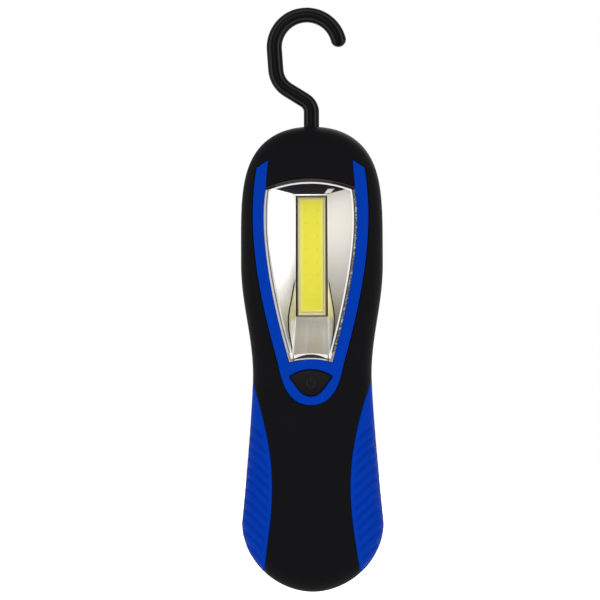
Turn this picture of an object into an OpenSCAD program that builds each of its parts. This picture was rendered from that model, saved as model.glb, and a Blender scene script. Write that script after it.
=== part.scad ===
// Hand-held work light: a two-part casing with a swivel hook, a clear lens over a strip of light,
// a push button, a battery bay with a sliding door, and a magnet in the back.
// X is across the light, Y runs from the front to the back, and Z runs up towards the hook.
// The origin is the centre of the magnet's face. Modules work in heights above the casing's foot,
// with Y = 0 on the flat back, and from_foot() moves them to the origin.

/* [Casing] */
// Height of the casing, without the hook
body_len = 200; // [180:1:240]
// Widest width of the head
head_w = 61; // [56:0.5:74]
// Narrowest width, between the head and the grip
waist_w = 51; // [48:0.5:60]
// Widest width of the grip
grip_w = 61; // [56:0.5:72]
// Height of the grip's widest place
grip_z = 29.5; // [24:0.5:34]
// Height of the waist
waist_z = 93; // [88:0.5:98]
// Height where the head reaches its full width
head_z = 141; // [132:0.5:150]
// Depth of the back half, from the flat back to the parting plane
rear_depth = 15; // [15:0.5:20]
// Depth of the front half over the head
head_rise = 17; // [16.5:0.5:20]
// Depth of the front half over the waist
waist_rise = 15.5; // [15:0.5:18]
// Depth of the front half over the grip
grip_rise = 16.5; // [15:0.5:20]
// Thickness of the casing's walls
wall = 2.2; // [1.8:0.1:2.8]
// Rounding of the back edge
back_round = 8; // [6:0.5:10]

/* [Light] */
// Height of the lens's lower corners
lens_foot_z = 98.8; // [97:0.1:101]
// Height of the lens's upper corners
lens_top_z = 173.8; // [168:0.1:178]
// Rise of the lens's arched top edge
lens_top_arch = 3.7; // [2:0.1:5]
// Rise of the lens's arched lower edge
lens_foot_arch = 1.3; // [0:0.1:2]
// Thickness of the lens at its middle
lens_t = 2.2; // [1.8:0.1:2.6]
// Width of the light strip's board
board_w = 12.5; // [11:0.5:13]
// Length of the light strip's board
board_len = 57; // [50:1:58]
// Width of the yellow phosphor
phosphor_w = 10.4; // [8:0.1:10.8]
// Length of the yellow phosphor
phosphor_len = 49; // [40:0.1:50]
// Depth of the reflector's bowl below its rim
bowl_depth = 9; // [7:0.5:9.5]

/* [Button] */
// Width of the button
button_w = 18; // [16:0.1:19]
// Height of the button
button_h = 11.2; // [10:0.1:12]
// Height of the button's lower edge
button_z = 84.4; // [84:0.1:85]
// Travel of the button
button_travel = 1; // [0.6:0.1:1.2]

/* [Hook] */
// Thickness of the hook's rod
hook_d = 6.7; // [5:0.1:7.2]
// Inside radius of the hook's bow, at the rod's centre
hook_bow_r = 14; // [12:0.5:18]
// Length of the straight stretch below the bow
hook_run = 8.6; // [6:0.1:16]
// Length of the slanting stretch above the shank
hook_slant = 8.5; // [6:0.1:10]
// Angle that the bow turns through
hook_bow_turn = 170; // [150:1:190]

/* [Battery bay] */
// Diameter of a cell
cell_d = 10.5; // [10.5:0.1:11]
// Length of a cell, with its stud
cell_len = 44.5; // [44:0.1:45]
// Pressed length of a cell's spring
spring_len = 6; // [5:0.1:7]
// Half width of the sliding door
door_half = 18.5; // [18.2:0.1:19]
// Height of the door's upper edge
door_top = 80; // [78:0.5:82]

/* [Magnet] */
// Diameter of the magnet
magnet_d = 20; // [16:0.5:24]
// Thickness of the magnet
magnet_t = 4; // [3:0.5:5]
// Height of the magnet's centre above the casing's foot
magnet_z = 150; // [140:1:160]

/* [Hidden] */
$fn = 48;

// Clearances
fit_gap = 0.15;
slide_gap = 0.25;
running_gap = 0.08;
stop_gap = 0.2;
over = 1;

// Shape of the casing: exponents of its rounded ends and of its crowned front
side_power_head = 2.2;
side_power_grip = 1.92;
top_power = 4.3;
foot_power = 1.92;
flare_power = 1.3;
crown_power = 1.5;
crown_root = 2.5;
outline_steps = 36;

part_y = -rear_depth;
// A depth in front of everything, where the cuts begin
ahead_y = part_y - 30;
// The bezel: how far it stands proud, the points of its arms, and where it turns in at the foot
bezel_lift = 0.3;
bezel_tip = [18.3, 185.5];
bezel_shoulder = [23.3, 182.2];
bezel_turn = [14.2, 98.3];
bezel_foot_z = 80.5;
bezel_half = 26;
lens_half = 22;
lens_top_half = 19.1;
lens_foot_half = 9.3;
lens_sink = 0.3;
rim_t = 1.2;
flange_grow = 1.2;
flange_t = 1;

// Depths of the layers behind the lens, from the front to the back
seat_t = 1.6;
seat_y = part_y - 9;
lens_back_y = seat_y - 2;
seat_back_y = seat_y + seat_t;
floor_back_y = lens_back_y + bowl_depth;
floor_t = 1.1;
led_y = floor_back_y + 0.1;
led_t = 1;
sink_y = led_y + led_t;
sink_t = 2;
sink_half = 11.5;
sink_ear = [2.6, 3.5];
phosphor_t = 0.7;
chip_t = 0.25;
bowl_wall = 1;
led_foot_z = 113;
window_w = board_w + 1.4;
window_len = phosphor_len + 2.6;
window_foot_z = 118.7;
window_mid_z = window_foot_z + window_len / 2;

// The driver board and its switch, between the button and the battery bay
driver_t = 1.6;
driver_back_y = part_y - 2;
driver_y = driver_back_y - driver_t;
driver_half = 12;
driver_low = 76;
driver_high = 98;
driver_posts = [[9.2, 79.5], [9.2, 94]];
post_r = 2.3;
pilot_r = 1.05;
pilot_deep = 5;
post_y = part_y - 14;
foot_post_y = part_y - 12;
button_mid_z = button_z + button_h / 2;
button_back_y = seat_y - button_travel - stop_gap;
button_fall = 2.9;
button_corner_z = button_z + 8.3;
plunger_r = 1.7;
plunger_way = 1.2;
plunger_in = 1.4;
switch_half = 3;
switch_front_y = seat_back_y + stop_gap;

// Screws
screw_r = 1;
head_r = 2.6;
head_t = 1.6;
casing_posts = [[19.5, 163], [15.5, 104]];
casing_post_r = 2.9;
sink_posts = [[16.8, 130], [9, 180.5]];

// Hook path from the shank to the tip: turns in degrees and their radii
hook_r = hook_d / 2;
hook_foot_z = body_len - 13;
hook_rise_z = body_len + 6.2;
hook_first = [58, 6.2];
hook_second = [54, 11];
collar_r = hook_r + 2.6;
collar_t = 2.4;
collar_z = body_len - 9.5;
bearing_half = 8;
bearing_t = 7;
bearing_low = body_len - 14;
bearing_high = body_len - 2;

// Battery bay: three cells side by side in a tray, behind a door that slides off the foot
door_foot_half = door_half + 2;
door_foot_top = 22;
cell_gap = 0.2;
cell_pitch = cell_d + cell_gap;
tray_wall = 1;
cell_low = 15;
plate_t = 0.5;
bump_t = 0.48;
tray_low = cell_low - bump_t - plate_t - tray_wall;
tray_high = cell_low + cell_len + spring_len + plate_t + tray_wall;
tray_half = cell_pitch * 1.5 + tray_wall;
cell_y = -wall - 0.6 - cell_d / 2;
tray_floor_y = cell_y + -cell_d / 2 - 0.2;
tray_ear = [4, 6.5];
tray_post_out = 3.5;
tray_posts = [[0, tray_high + tray_post_out], [0, tray_low - tray_post_out]];
tongue_y = -wall - 0.8;
tongue_t = 1.2;
tongue_half = door_half + 1.4;
rail_t = 1.2;

// Magnet cup
cup_wall = 1;
cup_floor = 1;
boss_wall = 2;
cup_sink = 0.3;
cup_r = magnet_d / 2 + cup_wall;
cup_y = -magnet_t - cup_floor;

// Other fits
curb_out = 1.9;
curb_lap = 0.35;
seat_lap = 0.8;
sleeve_wall = 1.4;
grip_t = 1.1;
rib_depth = 0.35;
rib_groove = 1.1;
rib_margin = 1.7;
rib_pitch = 4.8;
rib_count = 13;
rib_low_z = 10;
button_lift = 0.8;
casing_head_y = -4.2;
casing_bite = 6.5;
tray_back_y = tray_floor_y - tray_wall;
tray_rim_y = -5;
rail_y = tongue_y - tongue_t - slide_gap;
rail_out = 24;
wire_r = 0.7;
wire_x = 5.2;

// ---------- Shape functions ----------

// Width of the casing at a height between the grip's and the head's widest places.
function side_w(z) = z < waist_z
    ? waist_w + (grip_w - waist_w) * pow((waist_z - max(z, grip_z)) / (waist_z - grip_z), flare_power)
    : waist_w + (head_w - waist_w) * (1 - cos(180 * min(1, (z - waist_z) / (head_z - waist_z)))) / 2;

// Depth of the front half along the middle.
function rise(z) = z < waist_z
    ? waist_rise + (grip_rise - waist_rise)
        * (1 - cos(180 * (waist_z - max(z, grip_z)) / (waist_z - grip_z))) / 2
    : waist_rise + (head_rise - waist_rise) * (1 - cos(180 * min(1, (z - waist_z) / (head_z - waist_z)))) / 2;

function side_power(z) = side_power_grip + (side_power_head - side_power_grip)
    * min(1, max(0, (z - grip_z) / (head_z - grip_z)));

// How far past the straight part of the casing a height lies, from 0 to 1 at the very end.
function end_share(z, inset) = z > head_z ? (z - head_z) / (body_len - inset - head_z)
    : z < grip_z ? (grip_z - z) / (grip_z - inset) : 0;

// 0 on the middle line and 1 on the outline of the casing, which is inset by a distance.
function level(x, z, inset = 0) = pow(abs(x) / (side_w(z) / 2 - inset), side_power(z))
    + pow(end_share(z, inset), z > head_z ? top_power : foot_power);

// Height of the crowned front above the parting plane.
function crown(x, z, inset = 0) = (rise(z) - inset)
    * pow(max(0, 1 - pow(level(x, z, inset), crown_power)), 1 / crown_root);

// The same surface as a Y.
function front_y(x, z, inset = 0) = part_y - crown(x, z, inset);

function spine_z(z) = min(head_z, max(grip_z, z));

// Right half of the outline from the top to the foot: an arc, the side, and an arc.
function right_outline(inset = 0) = let (
        top_n = 12, foot_n = 9, side_n = outline_steps - top_n - foot_n,
        head_half = side_w(head_z) / 2 - inset, grip_half = side_w(grip_z) / 2 - inset) concat(
    [for (i = [0:top_n]) let (a = 90 * (1 - i / top_n))
        [head_half * pow(cos(a), 2 / side_power_head),
         head_z + (body_len - inset - head_z) * pow(sin(a), 2 / top_power)]],
    [for (i = [1:side_n - 1]) let (z = head_z + (grip_z - head_z) * i / side_n) [side_w(z) / 2 - inset, z]],
    [for (i = [0:foot_n]) let (a = 90 * i / foot_n)
        [grip_half * pow(cos(a), 2 / side_power_grip),
         grip_z - (grip_z - inset) * pow(sin(a), 2 / foot_power)]]);

// The whole outline as a closed loop: the top, down the right side, and up the left.
function outline(inset = 0) = let (right = right_outline(inset), n = len(right)) concat(
    right, [for (i = [n - 2:-1:1]) [-right[i][0], right[i][1]]]);

// An outline point drawn in towards the middle line, to a share of its distance.
function drawn_in(p, share) = [p[0] * share, spine_z(p[1]) + (p[1] - spine_z(p[1])) * share];

// Share at which the front's crown reaches sin(a) of its height.
function crown_share(a) = pow(1 - pow(sin(a), crown_root), 1 / (crown_power * 2.2));

function front_ring(inset, a) = [for (p = outline(inset)) let (q = drawn_in(p, crown_share(a)))
    [q[0], front_y(q[0], q[1], inset), q[1]]];

// A ring of the flat back: an elliptical rounding whose width is the same all round.
function back_ring(inset, a) = let (r = back_round - inset, depth = rear_depth - inset)
    [for (p = outline(inset)) let (
            s = [0, spine_z(p[1])], reach = norm(p - s),
            q = s + (p - s) * (reach - r * (1 - cos(a))) / reach)
        [q[0], part_y + depth * sin(a), q[1]]];

// Closed solid between an outer and an inner stack of rings, both open at the parting plane.
// The last ring of each stack is closed by strips from its left side to its right side.
module skin(outer, inner) {
    n = len(outer[0]);
    half = n / 2;
    points = [for (ring = concat(outer, inner)) for (p = ring) p];
    function band(a, b) = [for (k = [0:n - 1]) let (m = (k + 1) % n)
        each [[a + k, a + m, b + m], [a + k, b + m, b + k]]];
    function turned(faces) = [for (f = faces) [for (i = [len(f) - 1:-1:0]) f[i]]];
    function cap(a) = [for (k = [0:half - 1]) k == 0 ? [a, a + 1, a + n - 1]
        : k == half - 1 ? [a + k, a + k + 1, a + n - k]
        : [a + k, a + k + 1, a + n - k - 1, a + n - k]];
    in0 = len(outer) * n;
    faces = concat(
        [for (j = [0:len(outer) - 2]) each band(j * n, (j + 1) * n)],
        cap((len(outer) - 1) * n),
        turned(concat(
            [for (j = [0:len(inner) - 2]) each band(in0 + j * n, in0 + (j + 1) * n)],
            cap(in0 + (len(inner) - 1) * n))),
        turned(band(0, in0)));
    polyhedron(points, faces, convexity = 6);
}

front_angles = [0, 12, 26, 42, 58, 72, 82];
back_angles = [0, 25, 50, 72, 90];

module front_skin() skin(
    [for (a = front_angles) front_ring(0, a)],
    [for (a = front_angles) front_ring(wall, a)]);

// The back is turned inside out by its rings running the other way, so its faces are mirrored.
module back_skin() mirror([0, 1, 0]) skin(
    [for (a = back_angles) [for (p = back_ring(0, a)) [p[0], -p[1], p[2]]]],
    [for (a = back_angles) [for (p = back_ring(wall, a)) [p[0], -p[1], p[2]]]]);

// Prism along Y of an outline in X and Z.
module prism(points, y_front, y_back) translate([0, y_back, 0]) rotate([90, 0, 0])
    linear_extrude(y_back - y_front) polygon(points);

// Cylinder along Y.
module rod_y(x, z, r, y_front, y_back) translate([x, y_back, z]) rotate([90, 0, 0])
    cylinder(r = r, h = y_back - y_front);

module box(low, high) translate(low) cube(high - low);

module both_sides() {
    children();
    mirror([1, 0, 0]) children();
}

function bezier(p, t) = pow(1 - t, 3) * p[0] + 3 * pow(1 - t, 2) * t * p[1]
    + 3 * (1 - t) * t * t * p[2] + pow(t, 3) * p[3];

function curve(p, n) = [for (i = [0:n]) bezier(p, i / n)];

function mirrored(points) = [for (i = [len(points) - 1:-1:0]) [-points[i][0], points[i][1]]];

// Each point of a closed outline moved outwards, along the mitre of its two edges.
function grown(p, d) = let (n = len(p)) [for (i = [0:n - 1]) let (
        a = p[i] - p[(i + n - 1) % n], b = p[(i + 1) % n] - p[i],
        na = [-a[1], a[0]] / norm(a), nb = [-b[1], b[0]] / norm(b))
    p[i] + d * (na + nb) / (1 + na * nb)];

// ---------- Outlines of the pieces in the front, listed clockwise seen from behind the origin ----------

bezel_side = curve([bezel_shoulder, [28.2, 153], [21.1, 123.1], bezel_turn], 14);
bezel_under = curve([bezel_turn, [12.9, 92.4], [10.9, bezel_foot_z], [0, bezel_foot_z]], 7);
lens_side = curve([[lens_top_half, lens_top_z], [23.1, 153], [15.4, 120], [lens_foot_half, lens_foot_z]], 12);
grip_edge = curve([[26.6, 93.2], [12, 53], [16.8, 37], [20.6, 8.5]], 10);

function lens_top(n) = [for (i = [1:n - 1]) let (u = -1 + 2 * i / n)
    [u * lens_top_half, lens_top_z + lens_top_arch * (1 - u * u)]];

function lens_under(n) = [for (i = [1:n - 1]) let (u = 1 - 2 * i / n)
    [u * lens_foot_half, lens_foot_z + lens_foot_arch * (1 - u * u)]];

lens_loop = concat(lens_side, lens_under(6), mirrored(lens_side), lens_top(12));

bezel_right = concat([bezel_tip], bezel_side, [for (i = [1:len(bezel_under) - 1]) bezel_under[i]]);
bezel_loop = concat(bezel_right,
    [for (i = [1:len(bezel_right) - 1]) mirrored(bezel_right)[i]], lens_notch());

// From the left arm's tip, down to the lens's corner, over its top, and up to the right arm's tip.
function lens_notch() = concat([[-lens_top_half - fit_gap, lens_top_z + fit_gap]], lens_top(10),
    [[lens_top_half + fit_gap, lens_top_z + fit_gap]]);

// The button: an arched top that ends in small corners, and two sides that run together at the foot.
button_side = let (w = button_w / 2) curve([[0.945 * w, button_z + 7.45], [0.69 * w, button_z + 4.6],
    [0.48 * w, button_z], [0, button_z]], 8);
button_loop = let (w = button_w / 2) concat(
    [for (i = [0:8]) let (u = -1 + i / 4) [0.933 * w * u, button_z + button_h - 0.843 * button_fall * u * u]],
    [[w, button_corner_z]], button_side,
    [for (i = [1:len(button_side) - 1]) mirrored(button_side)[i]], [[-w, button_corner_z]]);

grip_loop = concat([[40, grip_edge[0][1]], [40, 2], [24, 2]], mirrored_order(grip_edge));

function mirrored_order(p) = [for (i = [len(p) - 1:-1:0]) p[i]];

// Depth at which a front surface lies over a point, lifted by a distance.
function skin_y(p, lift = 0) = front_y(p[0], p[1]) - lift;

// Half width inside which the front stands well clear of the seat.
function safe_half(z) = side_w(z) / 2 * pow(0.8 - pow(end_share(z, 0), top_power), 1 / side_power(z));

// Slab between a depth and the crowned front, lifted or sunk, from one height to another.
module crowned_slab(z_low, z_high, half_max, lift, y_back) {
    rows = 20;
    cols = 14;
    function row_z(i) = z_low + (z_high - z_low) * i / rows;
    top = [for (i = [0:rows]) let (z = row_z(i), half = min(half_max, safe_half(z)))
        for (j = [0:cols]) let (x = -half * cos(180 * j / cols)) [x, front_y(x, z) - lift, z]];
    base = [for (i = [0:rows]) for (j = [0, cols]) let (p = top[i * (cols + 1) + j]) [p[0], y_back, p[2]]];
    b0 = len(top);
    w = cols + 1;
    faces = concat(
        [for (i = [0:rows - 1]) for (j = [0:cols - 1])
            each [[i * w + j, (i + 1) * w + j, (i + 1) * w + j + 1],
                [i * w + j, (i + 1) * w + j + 1, i * w + j + 1]]],
        [for (i = [0:rows - 1]) [b0 + 2 * i, b0 + 2 * i + 1, b0 + 2 * i + 3, b0 + 2 * i + 2]],
        [for (i = [0:rows - 1]) each [
            [b0 + 2 * i, b0 + 2 * i + 2, (i + 1) * w, i * w],
            [b0 + 2 * i + 3, b0 + 2 * i + 1, i * w + cols, (i + 1) * w + cols]]],
        [concat([b0 + 1, b0], [for (j = [0:cols]) j])],
        [concat([b0 + 2 * rows, b0 + 2 * rows + 1], [for (j = [cols:-1:0]) rows * w + j])]);
    polyhedron(concat(top, base), faces, convexity = 4);
}

// Wall that hangs from inside the front's skin down to the seat, round a loop.
module curb(loop, inner_d, outer_d) {
    inner = grown(loop, inner_d);
    outer = grown(loop, outer_d);
    n = len(loop);
    points = concat(
        [for (p = inner) [p[0], skin_y(p, -wall / 2), p[1]]],
        [for (p = outer) [p[0], skin_y(p, -wall / 2), p[1]]],
        [for (p = outer) [p[0], seat_back_y, p[1]]],
        [for (p = inner) [p[0], seat_back_y, p[1]]]);
    faces = [for (s = [0:3]) for (k = [0:n - 1]) let (m = (k + 1) % n, a = s * n, b = (s + 1) % 4 * n)
        each [[a + k, b + m, a + m], [a + k, b + k, b + m]]];
    polyhedron(points, faces, convexity = 6);
}

// Casing half filled solid, from the parting plane to its front.
module front_solid(inset) {
    rings = [for (a = front_angles) front_ring(inset, a)];
    n = len(rings[0]);
    half = n / 2;
    last = (len(rings) - 1) * n;
    function strip(a, k) = k == 0 ? [a, a + 1, a + n - 1] : k == half - 1 ? [a + k, a + k + 1, a + n - k]
        : [a + k, a + k + 1, a + n - k - 1, a + n - k];
    function flipped(f) = [for (i = [len(f) - 1:-1:0]) f[i]];
    polyhedron([for (r = rings) each r], concat(
        [for (j = [0:len(rings) - 2]) for (k = [0:n - 1]) let (m = (k + 1) % n, a = j * n, b = a + n)
            each [[a + k, a + m, b + m], [a + k, b + m, b + k]]],
        [for (k = [0:half - 1]) strip(last, k)],
        [for (k = [0:half - 1]) flipped(strip(0, k))]), convexity = 4);
}

// ---------- Casing ----------

module front_shell() color("#1a1b1d") difference() {
    union() {
        front_skin();
        curb(bezel_loop, -curb_lap, curb_out);
        prism(grown(bezel_loop, curb_out), seat_y, seat_back_y);
        box([-bearing_half, part_y - bearing_t, bearing_low], [bearing_half, part_y, bearing_high]);
        both_sides() {
            for (p = casing_posts) rod_y(p[0], p[1], casing_post_r, seat_y, part_y);
            for (p = driver_posts) rod_y(p[0], p[1], post_r, post_y, driver_y);
            rod_y(sink_posts[0][0], sink_posts[0][1], post_r, seat_y, sink_y);
            rod_y(sink_posts[1][0], sink_posts[1][1], post_r, post_y, sink_y);
        }
        rod_y(tray_posts[0][0], tray_posts[0][1], post_r, post_y, tray_back_y);
        rod_y(tray_posts[1][0], tray_posts[1][1], post_r, foot_post_y, tray_back_y);
    }
    prism(grown(bezel_loop, fit_gap), ahead_y, seat_y);
    prism(grown(lens_loop, flange_grow + fit_gap), lens_back_y - flange_t, seat_y);
    prism(grown(lens_loop, -seat_lap), seat_y - over, seat_back_y + over);
    rod_y(0, button_mid_z, plunger_r + plunger_way, seat_y - over, seat_back_y + over);
    both_sides() {
        for (p = casing_posts) rod_y(p[0], p[1], pilot_r, seat_back_y, part_y + over);
        for (p = driver_posts) rod_y(p[0], p[1], pilot_r, driver_y - pilot_deep, driver_y + over);
        for (p = sink_posts) rod_y(p[0], p[1], pilot_r, sink_y - pilot_deep, sink_y + over);
        grip_pocket();
    }
    for (p = tray_posts) rod_y(p[0], p[1], pilot_r, tray_back_y - pilot_deep, tray_back_y + over);
    hook_bore();
}

module rear_shell() color("#1a1b1d") difference() {
    union() {
        back_skin();
        box([-bearing_half, part_y, bearing_low], [bearing_half, part_y + bearing_t, bearing_high]);
        rod_y(0, magnet_z, cup_r + boss_wall, -wall - magnet_t, -wall / 2);
        both_sides() {
            for (p = casing_posts) rod_y(p[0], p[1], head_r + sleeve_wall, part_y, -wall / 2);
            box([tray_half + 0.8, rail_y - rail_t, door_foot_top + 1], [rail_out, rail_y, door_top - 4]);
        }
    }
    door_opening(0);
    rod_y(0, magnet_z, cup_r + fit_gap, cup_y - 0.02, 1);
    both_sides() for (p = casing_posts) {
        rod_y(p[0], p[1], screw_r + fit_gap, part_y - over, casing_head_y + over);
        rod_y(p[0], p[1], head_r + fit_gap, casing_head_y, over);
    }
    hook_bore();
}

module door_opening(gap) {
    box([gap - door_half, part_y + (gap > 0 ? gap - fit_gap : -1), -1], [door_half - gap, 1, door_top - gap]);
    box([gap - door_foot_half, part_y + (gap > 0 ? gap - fit_gap : -1), -1],
        [door_foot_half - gap, 1, door_foot_top - gap]);
}

module hook_bore() {
    translate([0, part_y, hook_foot_z - over]) cylinder(r = hook_r + running_gap, h = 20);
    translate([0, part_y, collar_z - running_gap])
        cylinder(r = collar_r + running_gap, h = collar_t + 2 * running_gap);
}

module bezel() color("#0b3f9e") difference() {
    intersection() {
        crowned_slab(bezel_foot_z - over, bezel_tip[1] + over, bezel_half, bezel_lift, seat_y);
        prism(bezel_loop, ahead_y, part_y);
    }
    prism(grown(lens_loop, fit_gap), ahead_y, part_y);
    prism(grown(lens_loop, flange_grow + fit_gap), lens_back_y - flange_t, part_y);
    prism(grown(button_loop, slide_gap), ahead_y, part_y);
    prism(grown(button_loop, flange_grow + slide_gap), button_back_y - flange_t, part_y);
}

module grip_right() color("#0b3f9e") difference() {
    intersection() {
        front_solid(0);
        prism(grip_loop, ahead_y, part_y + 1);
    }
    front_solid(grip_t);
    difference() {
        intersection() {
            prism(grown(grip_loop, -rib_margin), ahead_y, part_y - 1);
            for (i = [0:rib_count - 1]) translate([22, part_y - 20, rib_low_z + i * rib_pitch])
                rotate([0, -45, 0]) cube([50, 40, rib_groove], center = true);
        }
        front_solid(rib_depth);
    }
}

module grip_left() mirror([1, 0, 0]) grip_right();

module grip_pocket() difference() {
    prism(grown(grip_loop, fit_gap), ahead_y, part_y + 1);
    front_solid(grip_t + fit_gap / 2);
}

// ---------- Light ----------

module lens() color("#e8f0f4", 0.35) difference() {
    union() {
        intersection() {
            crowned_slab(lens_foot_z - over, lens_top_z + lens_top_arch + over, lens_half,
                -lens_sink, lens_back_y);
            prism(lens_loop, ahead_y, part_y);
        }
        prism(grown(lens_loop, flange_grow), lens_back_y - flange_t, lens_back_y);
    }
    intersection() {
        crowned_slab(lens_foot_z - over, lens_top_z + lens_top_arch + over, lens_half,
            -lens_sink - lens_t, lens_back_y + over);
        prism(grown(lens_loop, -rim_t), ahead_y, part_y);
    }
}

// Loop with as many points as the lens's, along the sides of an upright rectangle.
function rectangle_loop(half, low, high) = concat(
    [for (i = [0:12]) [half, high + (low - high) * i / 12]],
    [for (i = [1:5]) [half * (1 - i / 3), low]],
    [for (i = [0:12]) [-half, low + (high - low) * i / 12]],
    [for (i = [1:11]) [half * (i / 6 - 1), high]]);

module reflector() color("#c9ccd0") {
    floor_loop = rectangle_loop(window_w / 2 + 1.4, window_foot_z - 1.8, window_foot_z + window_len + 1.4);
    window_loop = rectangle_loop(window_w / 2, window_foot_z, window_foot_z + window_len);
    loops = [[grown(lens_loop, -rim_t), lens_back_y], [floor_loop, floor_back_y - floor_t],
        [window_loop, floor_back_y - floor_t], [window_loop, floor_back_y],
        [grown(floor_loop, bowl_wall), floor_back_y], [grown(lens_loop, -rim_t - 0.1), seat_y],
        [grown(lens_loop, flange_grow), seat_y], [grown(lens_loop, flange_grow), lens_back_y]];
    n = len(lens_loop);
    faces = [for (s = [0:7]) for (k = [0:n - 1]) let (m = (k + 1) % n, a = s * n, b = (s + 1) % 8 * n)
        each [[a + k, b + m, a + m], [a + k, b + k, b + m]]];
    polyhedron([for (l = loops) for (p = l[0]) [p[0], l[1], p[1]]], faces, convexity = 6);
}

module led_board() color("#d9dad8")
    box([-board_w / 2, led_y, led_foot_z], [board_w / 2, sink_y, led_foot_z + board_len]);

function chip_at(i, j) = [(i - 0.5) * 5, window_mid_z + (j - 3.5) * 5.6];

module led_phosphor() color("#e8e23c") difference() {
    box([-phosphor_w / 2, led_y - phosphor_t, window_mid_z - phosphor_len / 2],
        [phosphor_w / 2, led_y, window_mid_z + phosphor_len / 2]);
    for (i = [0, 1], j = [0:7]) chip(chip_at(i, j), 0.52, 0.02);
}

module chip(p, half, more = 0) box([p[0] - half, led_y - chip_t - more, p[1] - half],
    [p[0] + half, led_y + (more > 0 ? 1 : 0), p[1] + half]);

module led_chips() color("#6f7480") for (i = [0, 1], j = [0:7]) chip(chip_at(i, j), 0.5);

module heat_sink() color("#b4b7ba") difference() {
    union() {
        box([-sink_half, sink_y, led_foot_z], [sink_half, sink_y + sink_t, sink_posts[1][1] + sink_ear[1]]);
        box([-sink_posts[0][0] - sink_ear[0], sink_y, sink_posts[0][1] - sink_ear[1]],
            [sink_posts[0][0] + sink_ear[0], sink_y + sink_t, sink_posts[0][1] + sink_ear[1]]);
    }
    both_sides() for (p = sink_posts) rod_y(p[0], p[1], screw_r + fit_gap, sink_y - 1, sink_y + sink_t + 1);
}

// ---------- Button, switch and driver board ----------

module button() color("#1a1b1d") union() {
    intersection() {
        crowned_slab(button_z - over, button_z + button_h + over, button_w, button_lift, button_back_y);
        prism(button_loop, ahead_y, part_y);
    }
    prism(grown(button_loop, flange_grow), button_back_y - flange_t, button_back_y);
}

module switch_plunger() color("#303236")
    rod_y(0, button_mid_z, plunger_r, button_back_y, switch_front_y + plunger_in);

module switch_body() color("#3c3e42") difference() {
    box([-switch_half, switch_front_y, button_mid_z - switch_half],
        [switch_half, driver_y, button_mid_z + switch_half]);
    rod_y(0, button_mid_z, plunger_r + running_gap, switch_front_y - over, driver_y - 0.8);
}

module driver_board() color("#1e5a38") difference() {
    box([-driver_half, driver_y, driver_low], [driver_half, driver_back_y, driver_high]);
    both_sides() for (p = driver_posts) rod_y(p[0], p[1], screw_r + fit_gap, driver_y - 1, driver_back_y + 1);
}

module driver_parts() color("#4a4a4c") {
    rod_y(-4.5, 82, 2.2, driver_y - 3, driver_y);
    rod_y(4.5, 82, 2, driver_y - 3.2, driver_y);
    box([-3, driver_back_y, 84], [3, driver_back_y + 1.2, 88]);
    for (i = [0:3]) box([-4 + 2.4 * i, driver_back_y, 78.5], [-2.8 + 2.4 * i, driver_back_y + 0.6, 80.5]);
}

// Pan-head screw whose head faces the back and stands on a depth.
module screw(x, z, y, length) {
    rod_y(x, z, screw_r, y - length, y);
    difference() {
        rod_y(x, z, head_r, y, y + head_t);
        box([x - 1.4, y + head_t - 0.7, z - 0.25], [x + 1.4, y + head_t + 1, z + 0.25]);
        box([x - 0.25, y + head_t - 0.7, z - 1.4], [x + 0.25, y + head_t + 1, z + 1.4]);
    }
}

module inner_screws() color("#a8abb0") {
    both_sides() {
        for (p = driver_posts) screw(p[0], p[1], driver_back_y, driver_t + 4.5);
        for (p = sink_posts) screw(p[0], p[1], sink_y + sink_t, sink_t + 4.5);
    }
    for (p = tray_posts) screw(p[0], p[1], tray_floor_y, tray_wall + 4.5);
}

module casing_screws() color("#a8abb0")
    both_sides() for (p = casing_posts) screw(p[0], p[1], casing_head_y, casing_head_y - part_y + casing_bite);

// Rod along a path in X and Z, whose points may carry a share of the radius.
module tube(path, r, sides = 24) {
    last = len(path) - 1;
    function heading(i) =
        let (a = max(0, min(last - 1, i)), d = [for (k = [0, 1]) path[a + 1][k] - path[a][k]])
        atan2(d[0], d[1]);
    function share(p) = len(p) > 2 ? p[2] : 1;
    rings = [for (i = [0:last]) let (
            a = heading(i - 1), b = heading(i), h = (a + b) / 2, wide = r / cos((b - a) / 2), p = path[i])
        for (k = [0:sides - 1]) let (
            t = 360 * k / sides, c = share(p) * wide * cos(t), w = share(p) * r * sin(t))
            [p[0] + c * cos(h), w, p[1] - c * sin(h)]];
    polyhedron(rings, concat([[for (k = [0:sides - 1]) k]],
        [for (i = [0:last - 1]) for (k = [0:sides - 1])
            let (m = (k + 1) % sides, a = i * sides, b = a + sides)
            each [[a + k, b + k, b + m], [a + k, b + m, a + m]]],
        [[for (k = [sides - 1:-1:0]) last * sides + k]]), convexity = 6);
}

module wire_pair(x) translate([x, 0, 0]) rotate([0, 0, 90]) {
    front_y = driver_y - wire_r;
    back_y = driver_back_y + wire_r;
    tray_y = tray_floor_y - wire_r;
    tube([[led_y + led_t / 2, led_foot_z - 0.05], [led_y + led_t / 2, led_foot_z - 4],
        [front_y, driver_high + 5], [front_y, driver_high - 1.5]], wire_r, 12);
    tube([[back_y, driver_low + 5], [back_y, driver_low - 2],
        [tray_y + 1, tray_high + 4], [tray_y + 1, tray_high + 0.05]], wire_r, 12);
}

module wire_red() color("#c0261d") wire_pair(-wire_x);

module wire_black() color("#202124") wire_pair(wire_x);

// ---------- Hook ----------

// A path's end is its X, its Z and its heading, in degrees to the right of straight up.
function run_end(e, length) = [e[0] + length * sin(e[2]), e[1] + length * cos(e[2]), e[2]];

function bend_end(e, turn, r) = let (s = sign(turn)) [
    e[0] + s * r * (cos(e[2]) - cos(e[2] + turn)),
    e[1] - s * r * (sin(e[2]) - sin(e[2] + turn)),
    e[2] + turn];

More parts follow.
